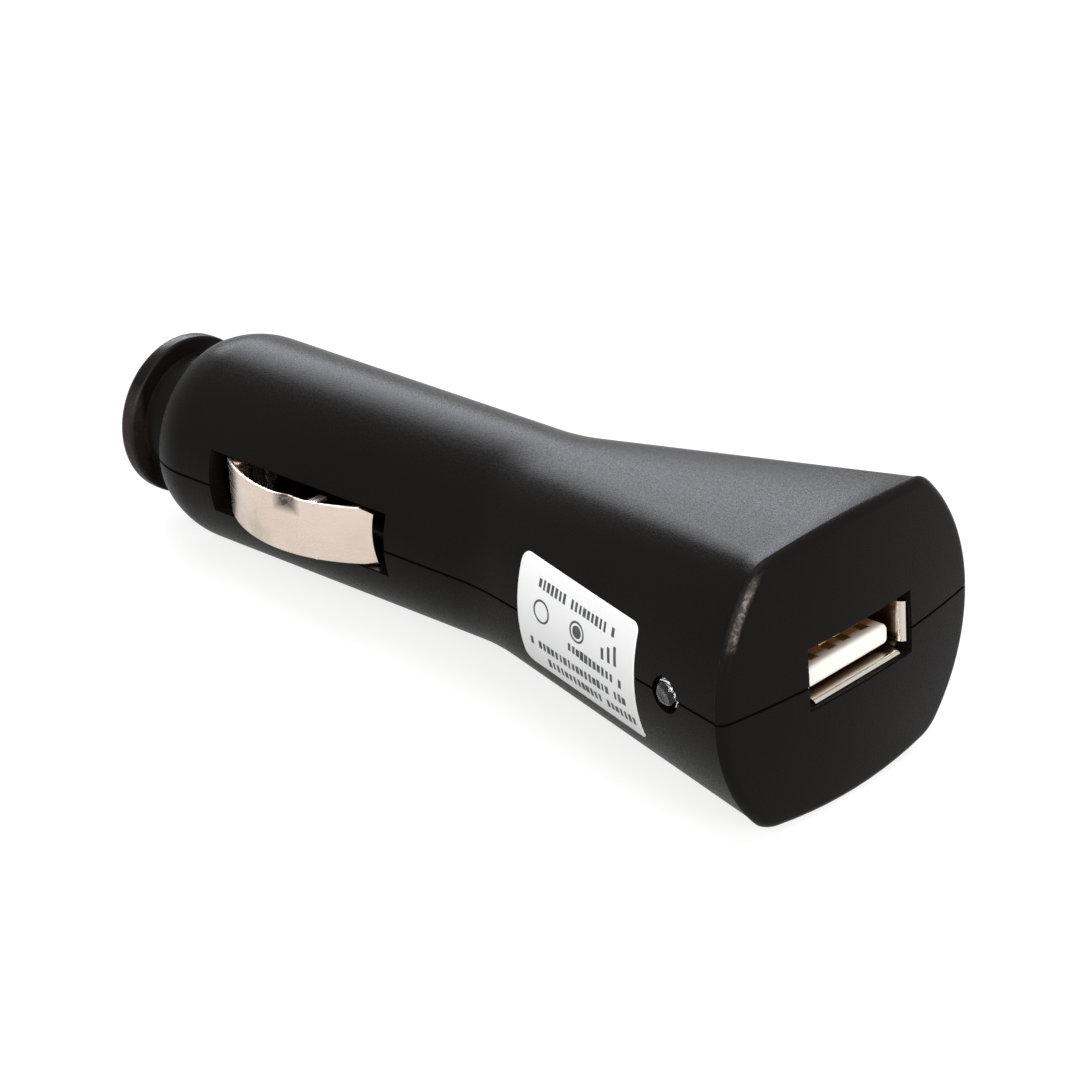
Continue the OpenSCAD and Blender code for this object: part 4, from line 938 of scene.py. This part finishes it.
def makeContact(name, node, body, far):
    look = contactForm
    path, normals = contactPath()
    low, high, edge, half = look["low"], look["high"], look["edge"], look["thick"] / 2
    step = edge * 0.3
    heights = [low, low + step, low + edge, *np.linspace(low, high, look["across"])[1:-1],
               high - edge, high - step, high]
    ends = [half - edge, half - step, half]
    insets = ends + [half] * (look["across"] - 2) + ends[::-1]
    middle, span = (low + high) / 2, (high - low) / 2
    hollowR = (span ** 2 + look["hollow"] ** 2) / (2 * look["hollow"])
    stretchX, (cx, cy) = look["stretchFrom"], look["bowCentre"]
    count, points = len(heights), []
    for (x, y), (nx, ny) in zip(path, normals):
        for side in (1, -1):
            for z, inset in zip(heights, insets):
                px, py = x + side * inset * nx, y + side * inset * ny
                if x > stretchX:
                    stop = look["endX"] + hollowR - look["hollow"] - math.sqrt(hollowR ** 2 - (z - middle) ** 2)
                    clip = look["endX"] - look["clip"] + (high - z) / math.tan(math.radians(look["clipDeg"]))
                    stop = min(stop, clip)
                    px = stretchX + (px - stretchX) * (stop - stretchX) / (look["endX"] - stretchX)
                    radius = look["bowR"] - side * inset
                    py = cy - math.sqrt(radius ** 2 - (px - cx) ** 2)
                dentX, dentZ, reachX, reachZ, deep = look["dent"]
                if y < look["peg"][1] - 2:
                    py += deep * math.exp(-((px - dentX) / reachX) ** 2 - ((z - dentZ) / reachZ) ** 2)
                points.append((px, py, z))
    faces, ring = [], 2 * count
    for i in range(len(path) - 1):
        a, b = i * ring, (i + 1) * ring
        for k in range(count - 1):
            faces.append((a + k, a + k + 1, b + k + 1, b + k))
            faces.append((a + count + k + 1, a + count + k, b + count + k, b + count + k + 1))
        faces.append((a, b, b + count, a + count))
        faces.append((b + count - 1, a + count - 1, a + ring - 1, b + ring - 1))
    for start in (0, (len(path) - 1) * ring):
        faces += [(start + k, start + k + 1, start + count + k + 1, start + count + k) for k in range(count - 1)]
    strip = outward(meshObject(name, points, faces))
    wide, deep, thick = look["tabSize"]
    for x in look["tabs"]:
        y = cy - math.sqrt((look["bowR"] + half) ** 2 - (x - cx) ** 2)
        for z in (low, high - thick):
            tab = cuboid((x, y + half * look["tabFrom"], z), (x + wide, y + 2 * half + deep, z + thick))
            cut(strip, [bevel(tab, look["tabEdge"])], "UNION")
    if far:
        strip.data.transform(Matrix.Scale(-1, 4, (0, 1, 0)))
    outward(strip)
    smooth(strip, angle=32)
    return finishPiece(strip, body, "contact_nickel", nickel, node)


makeContact("sideContactNear", "side_contact_near", "near_contact", False)
makeContact("sideContactFar", "side_contact_far", "far_contact", True)
print("side contacts made")

# Port: a steel shell with a flared mouth and a cut at each corner, as (across, along), its sprung fingers,
# and the white block and tongue; the mouth's stations are (x from the end, share of the flare, distance inwards)
portForm = {
    "rear": 22.6, "mouth": 36.6, "w": 13.1, "h": 5.72, "z": 0.68, "t": 0.3, "corner": 0.8, "mouthLen": 0.8,
    "flareUp": 0.08, "flareSide": 0.25, "latchX": (28.0, 32.6), "latchY": 3.2, "latchW": 2.3,
    "tongueW": 11.1, "tongueT": 2.0, "tongueLow": -1.32, "tongueTip": 35.6, "tongueRound": 0.5,
    "tongueCorner": 0.6, "slotTip": 0.9, "slotDeep": 0.6, "baseCorner": 0.5, "notch": (0.95, 0.85),
    "baseFrom": 22.9, "baseTo": 25.5, "contactY": (-3.5, -1.0, 1.0, 3.5), "contactW": 1.1, "contactLow": 0.43,
    "rearEdge": 0.08, "bendTo": 0.8, "bendPower": 1.4, "windowLess": 0.5,
    "mouthOuter": ((-0.07, 0.95, 0.0), (-0.02, 1.0, 0.03), (0.0, 1.0, 0.09)),
    "mouthInner": ((-0.36, 0.5, 0.0), (-0.24, 0.66, -0.04), (-0.12, 0.83, -0.12), (0.0, 1.0, -0.23),
                   (0.5, 1.0, -0.23)),
    "fingerLess": 0.5, "fingerTip": (0.4, 0.3), "fingerBend": (1.3, 0.55),
}


def roundedRing(x, w, h, radius, middle, steps=12):
    # ring of a rectangle with rounded corners across the X axis
    points = []
    for i, (sy, sz) in enumerate(((1, 1), (-1, 1), (-1, -1), (1, -1))):
        points += arc((sy * (w / 2 - radius), middle + sz * (h / 2 - radius)), radius, 90 * i, 90 * i + 90, steps)
    points = np.array(points)
    return np.full(len(points), x), points[:, 0], points[:, 1]


def shellForm(inset, stations):
    # the shell's outer or inner skin through stations of (x, share of the flare, distance inwards)
    look, rings = portForm, []
    for x, share, less in stations:
        w = look["w"] + 2 * look["flareSide"] * share - 2 * (inset + less)
        h = look["h"] + 2 * look["flareUp"] * share - 2 * (inset + less)
        rings.append(roundedRing(x, w, h, look["corner"] - inset, look["z"]))
    return closedLoft("shell", rings)


def makePort():
    look = portForm
    rear, mouth, thin, z = look["rear"], look["mouth"], look["t"], look["z"]
    flareFrom = mouth - look["mouthLen"]
    bend = [(flareFrom + look["mouthLen"] * s, s ** look["bendPower"], 0.0)
            for s in np.linspace(0, look["bendTo"], 6)]
    outer = [(rear, 0, look["rearEdge"]), (rear + look["rearEdge"], 0, 0.0)] + bend
    outer += [(mouth + x, share, less) for x, share, less in look["mouthOuter"]]
    inner = [(rear + thin, 0, 0.0)] + bend[:4] + [(mouth + x, share, less) for x, share, less in look["mouthInner"]]
    shell = shellForm(0.0, outer)
    cut(shell, [shellForm(thin, inner)])
    wide = look["tongueW"] / 2 - look["windowLess"]
    windows = [cuboid((rear - 1, -wide, z - look["h"] / 2 + 1), (rear + 1, wide, z + look["h"] / 2 + 1))]
    x0, x1 = look["latchX"]
    for side in (-1, 1):
        for up in (-1, 1):
            y, top = side * look["latchY"], z + up * look["h"] / 2
            windows.append(cuboid((x0, y - look["latchW"] / 2, top - 1), (x1, y + look["latchW"] / 2, top + 1)))
    notchW, notchX = look["notch"]
    for sy in (-1, 1):
        for sz in (-1, 1):
            y0, y1 = sorted((sy * (look["w"] / 2 + look["flareSide"] - notchW), sy * (look["w"] / 2 + 1)))
            z0, z1 = sorted((sz * (look["h"] / 2 + look["flareUp"] - notchW), sz * (look["h"] / 2 + 1)))
            windows.append(cuboid((mouth - notchX, y0, z + z0), (mouth + 1, y1, z + z1)))
    cut(shell, [join("windows", windows)])
    for side in (-1, 1):
        for up in (-1, 1):
            cut(shell, [latchFinger(side, up)], "UNION")
    shell.name = shell.data.name = "portShell"
    smooth(shell, angle=30)
    finishPiece(shell, "housing", "port_steel", portSteel, "usb_shell")

    baseW, baseH = look["w"] - 2 * thin, look["h"] - 2 * thin
    base = closedLoft("base", [roundedRing(x, baseW, baseH, look["baseCorner"], z)
                               for x in (look["baseFrom"], look["baseTo"])])
    middle, tip, soft = look["tongueLow"] + look["tongueT"] / 2, look["tongueTip"], look["tongueRound"]
    rings = [roundedRing(look["baseTo"] - 0.2, look["tongueW"], look["tongueT"], look["tongueCorner"], middle)]
    for t in np.linspace(0, math.pi / 2, 9):
        less = soft * (1 - math.cos(t))
        rings.append(roundedRing(tip - soft + soft * math.sin(t), look["tongueW"] - 2 * less,
                                 look["tongueT"] - 2 * less, look["tongueCorner"] - less, middle))
    tongue = cut(base, [closedLoft("tongue", rings)], "UNION")
    slots = [cuboid((look["baseFrom"] - 1, y - look["contactW"] / 2, look["contactLow"]),
                    (tip - look["slotTip"], y + look["contactW"] / 2, look["contactLow"] + look["slotDeep"]))
             for y in look["contactY"]]
    cut(tongue, [join("slots", slots)])
    tongue.name = tongue.data.name = "portTongue"
    smooth(tongue, angle=35)
    finishPiece(tongue, "housing", "port_white", portWhite, "usb_tongue")


def latchFinger(side, up):
    # a finger that leans into the port, whose tip turns out again
    look = portForm
    outer, thin, wide = look["h"] / 2, look["t"], look["latchW"] - look["fingerLess"]
    (x0, x1), (tip, tipDeep), (bend, bendDeep) = look["latchX"], look["fingerTip"], look["fingerBend"]
    x1 += 0.01  # overlaps the shell a little
    path = [(x1, outer), (x1, outer - thin), (x0 + bend, outer - thin - bendDeep), (x0 + tip, outer - thin - tipDeep),
            (x0 + tip, outer - tipDeep), (x0 + bend, outer - bendDeep)]
    y = side * look["latchY"]
    points = [(x, y + s * wide / 2, look["z"] + up * z) for s in (-1, 1) for x, z in path]
    count = len(path)
    faces = [list(range(count)), list(range(count, 2 * count))[::-1]]
    faces += [(k, k + count, (k + 1) % count + count, (k + 1) % count) for k in range(count)]
    return outward(meshObject("finger", points, faces))


makePort()
print("port made")

# Indicator light: clear resin with a thin metal ring behind its dome
lightForm = {
    "x": 27.8, "back": 10.74, "flangeR": 1.9, "flangeT": 1.0, "chamfer": 0.1, "r": 1.5, "tip": 16.04,
    "ringMouth": 1.37, "ringFloor": 1.27, "ringFrom": 3.46, "ringTo": 3.7, "ringT": 0.07,
}


def makeLight():
    look = lightForm
    back, r, tip, flange, chamfer = look["back"], look["r"], look["tip"], look["flangeR"], look["chamfer"]
    step = back + look["flangeT"]
    profile = [(back, 0), (back, flange - chamfer), (back + chamfer, flange), (step - chamfer, flange),
               (step, flange - chamfer), (step, r)]
    profile += arc((tip - r, 0), r, 90, 0, 20)
    profile[-1] = (tip, 0.0)
    lens = turnedTo(lathe("lightLens", profile, steps=64), nearwards, (look["x"], 0, 0))
    smooth(lens, angle=30)
    finishPiece(lens, "housing", "light_clear", clearResin, "led_lens")
    start, end, thin = back + look["ringFrom"], back + look["ringTo"], look["ringT"]
    floor, mouth = look["ringFloor"], look["ringMouth"]
    ring = outward(lathe("lightCup", [(start, floor), (end, mouth), (end, mouth - thin), (start, floor - thin),
                                      (start, floor)], steps=48))
    turnedTo(ring, nearwards, (look["x"], 0, 0))
    smooth(ring, angle=30)
    finishPiece(ring, "housing", "solder_tin", tin)


makeLight()
print("indicator light made")


# Small parts: merged copies of the plain solids with softened edges
copyForm = {"merge": 0.0004, "flatDeg": 0.8, "edgeDeg": 38, "smoothDeg": 34}


def roundedCopy(node, name, slot, material, width):
    shape = bmesh.new()
    shape.from_mesh(nodes[node].data)
    shape.transform(Matrix.Scale(1000, 4))
    bmesh.ops.remove_doubles(shape, verts=shape.verts, dist=copyForm["merge"])
    flat = math.radians(copyForm["flatDeg"])
    bmesh.ops.dissolve_limit(shape, angle_limit=flat, verts=shape.verts, edges=shape.edges)
    piece = meshObject(name, [], [])
    shape.to_mesh(piece.data)
    shape.free()
    if width:
        bevel(piece, width, copyForm["edgeDeg"])
    smooth(piece, copyForm["smoothDeg"])
    return finishPiece(piece, body_of(nodes[node])[0], slot, material, node)


def twoTone(piece, second, test):
    # a second material on the faces whose middle passes the test
    piece.data.materials.append(second)
    for face in piece.data.polygons:
        if test(face.center / mm):
            face.material_index = 1


# Bands of a second tone, in millimetres: sleeves of the capacitors, stripe of the diode, ends of the resistors
bandForm = {
    "inputSleeve": (-8.45, -0.75), "outputSleeve": (-3.31, 3.39), "diodeStripe": -4.55,
    "resistorX": (8.0, -14.4, -14.4), "resistorBody": (0.35, 1.65),
}


def makeSmallParts():
    for node, name, slot, material, width in (
            ("fuse_glass", "fuseGlass", "fuse_glass", fuseGlass, 0.06),
            ("fuse_end_front", "fuseEndFront", "solder_tin", tin, 0.05),
            ("fuse_end_rear", "fuseEndRear", "solder_tin", tin, 0.05),
            ("fuse_contact", "fuseCup", "brass", brass, 0.08),
            ("positive_wire", "positiveWire", "wire_red", wireRed, 0),
            ("ground_wire_near", "groundWireNear", "wire_black", wireBlack, 0),
            ("ground_wire_far", "groundWireFar", "wire_black", wireBlack, 0),
            ("circuit_board", "circuitBoard", "board_green", boardGreen, 0.05),
            *(("usb_contact_%d" % i, "portContact%d" % i, "contact_gold", gold, 0.04) for i in range(1, 5)),
            ("controller_chip", "controllerChip", "chip_black", chipBlack, 0.1),
            ("chip_leads", "chipLeads", "solder_tin", tin, 0.03),
            ("inductor_core", "coilCore", "ferrite", ferrite, 0.12),
            ("led_leads", "lightLeads", "solder_tin", tin, 0)):
        roundedCopy(node, name, slot, material, width)
    look = bandForm
    for node, name, axis, (low, high) in (("input_capacitor", "inputCapacitor", 0, look["inputSleeve"]),
                                          ("output_capacitor", "outputCapacitor", 2, look["outputSleeve"])):
        can = roundedCopy(node, name, "can_sleeve", canSleeve, 0.06)
        twoTone(can, tin, lambda c: not low < c[axis] < high)
    diode = roundedCopy("diode", "diodeBody", "chip_black", chipBlack, 0.1)
    twoTone(diode, tin, lambda c: c[0] < look["diodeStripe"])
    start, end = look["resistorBody"]
    for i, x in enumerate(look["resistorX"], 1):
        chip = roundedCopy("resistor_%d" % i, "resistor%d" % i, "chip_black", chipBlack, 0.04)
        twoTone(chip, tin, lambda c: not x + start < c[0] < x + end)


coilForm = {"at": (13.6, 0.0), "bottom": -1.46, "lip": 0.8, "high": 5.0, "outer": 3.0, "waist": 1.5, "wire": 0.24,
            "slack": 0.98}


def makeWinding():
    # a body of wound copper with its outer layer of wire
    look = coilForm
    base, top = look["bottom"] + look["lip"], look["bottom"] + look["high"] - look["lip"]
    outer, wire = look["outer"] - look["wire"], look["wire"]
    core = lathe("woundCore", [(base, look["waist"]), (base, outer), (top, outer), (top, look["waist"]),
                               (base, look["waist"])], steps=64)
    turnedTo(core, upwards, (*look["at"], 0))
    turns = (top - base - 2 * wire) / (2 * wire)
    layer = runTree("layer", wireSpiral, {
        "Radius": outer, "Length": top - base - 2 * wire, "Turns": turns, "WireRadius": wire * look["slack"],
        "PointsATurn": 40, "WireSides": 8, "Material": copper})
    layer.data.transform(Matrix.Translation((*look["at"], base + wire)))
    winding = cut(outward(core), [outward(layer)], "UNION")
    winding.name = winding.data.name = "coilWinding"
    smooth(winding, angle=40)
    finishPiece(winding, "housing", "copper", copper, "inductor_winding")


makeSmallParts()
makeWinding()
print("small parts made")


def dressNodes():
    # the one solid that stays as it is
    mesh = nodes["fuse_wire"].data
    mesh.materials.clear()
    mesh.materials.append(tin)


dressNodes()

# Camera at the photo's place and turn
photoCamera = {
    "place": (236.28, -239.33, 165.58), "lookAt": (-1.76, 0.0, 0.60), "rollDeg": -3.6535, "lens": 133.44,
    "sensor": 36.0, "clip": (0.01, 20.0),
}


def makeCamera():
    look = photoCamera
    data = bpy.data.cameras.new("photoCamera")
    data.lens = look["lens"]
    data.sensor_width = look["sensor"]
    data.clip_start, data.clip_end = look["clip"]
    camera = bpy.data.objects.new("photoCamera", data)
    bpy.context.scene.collection.objects.link(camera)
    place, aim = Vector(look["place"]) * mm, Vector(look["lookAt"]) * mm
    turn = (aim - place).to_track_quat("-Z", "Y").to_matrix().to_4x4()
    roll = Matrix.Rotation(math.radians(look["rollDeg"]), 4, "Z")
    camera.matrix_world = Matrix.Translation(place) @ turn @ roll
    bpy.context.scene.camera = camera


makeCamera()


# Floor that touches the barrel's underside and the lower edge of the flare
floorLook = {"size": 6.0, "under": 0.00002, "flareFrom": 0.01, "colour": 0.27, "glow": 0.77, "mirrored": 0.5}


def shownRays(tree, mirrored):
    # 1 for what the camera sees straight or through clear pieces, and a share of it for what mirrors see
    rays = addNode(tree, "ShaderNodeLightPath").outputs
    seen = calc(tree, "MAXIMUM", rays["Is Camera Ray"], rays["Is Transmission Ray"])
    return calc(tree, "MAXIMUM", seen, calc(tree, "MULTIPLY", rays["Is Glossy Ray"], mirrored))


def makeFloor():
    spots = meshPoints(bpy.data.objects["lowerHousing"])
    front = np.array((housingForm["front"] + housingForm["noseRound"], -housingForm["barrelR"])) * mm
    rear = spots[spots[:, 0] > floorLook["flareFrom"]]
    slope = ((rear[:, 2] - front[1]) / (rear[:, 0] - front[0])).min()
    half = floorLook["size"] / 2
    corners = [(x, y, front[1] - floorLook["under"] + slope * (x - front[0])) for x, y in
               ((-half, -half), (half, -half), (half, half), (-half, half))]
    floor = meshObject("floor", corners, [(0, 1, 2, 3)])
    material = bpy.data.materials.new("floorWhite")
    material.use_nodes = True
    tree = material.node_tree
    tree.nodes.clear()
    lit = addNode(tree, "ShaderNodeBsdfDiffuse", {"Color": (floorLook["colour"],) * 3 + (1.0,)})
    strength = calc(tree, "MULTIPLY", shownRays(tree, floorLook["mirrored"]), floorLook["glow"])
    glow = addNode(tree, "ShaderNodeEmission", {"Color": (1.0, 1.0, 1.0, 1.0), "Strength": strength})
    both = addNode(tree, "ShaderNodeAddShader", {0: lit.outputs[0], 1: glow.outputs[0]})
    addNode(tree, "ShaderNodeOutputMaterial", {"Surface": both.outputs[0]})
    floor.data.materials.append(material)


makeFloor()

# Soft studio light: a low wide lamp behind for the sheen on top, and soft lamps above and in front
lamps = {
    "backSoft": {"place": (-0.42, 0.46, 0.34), "size": (0.60, 0.34), "power": 5.0, "colour": (0.89, 0.92, 1.0)},
    "topSoft": {"place": (0.05, 0.00, 0.75), "size": (0.60, 0.60), "power": 3.0, "colour": (1.0, 1.0, 1.0)},
    "rightSoft": {"place": (0.75, -0.18, 0.30), "size": (0.40, 0.40), "power": 5.0, "colour": (1.0, 0.99, 0.97)},
    "frontSoft": {"place": (0.30, -0.70, 0.45), "size": (0.50, 0.50), "power": 5.0, "colour": (1.0, 0.98, 0.95)},
}
worldLook = {"colour": (1.0, 1.0, 1.0), "strength": 0.25, "mirrored": 0.6}


def makeLights():
    for name, lamp in lamps.items():
        data = bpy.data.lights.new(name, "AREA")
        data.shape = "RECTANGLE"
        data.size, data.size_y = lamp["size"]
        data.energy = lamp["power"]
        data.color = lamp["colour"]
        light = bpy.data.objects.new(name, data)
        bpy.context.scene.collection.objects.link(light)
        light.location = lamp["place"]
        light.rotation_mode = "QUATERNION"
        light.rotation_quaternion = (-Vector(lamp["place"])).to_track_quat("-Z", "Y")
    world = bpy.data.worlds.new("studio")
    bpy.context.scene.world = world
    world.use_nodes = True
    tree = world.node_tree
    tree.nodes.clear()
    strength = ramp(tree, shownRays(tree, worldLook["mirrored"]), 0.0, 1.0, worldLook["strength"], 1.0)
    sky = addNode(tree, "ShaderNodeBackground", {"Color": (*worldLook["colour"], 1.0), "Strength": strength})
    addNode(tree, "ShaderNodeOutputWorld", {"Surface": sky.outputs[0]})
    bpy.context.scene.view_settings.view_transform = "Standard"


makeLights()
print("camera, floor and lights made")
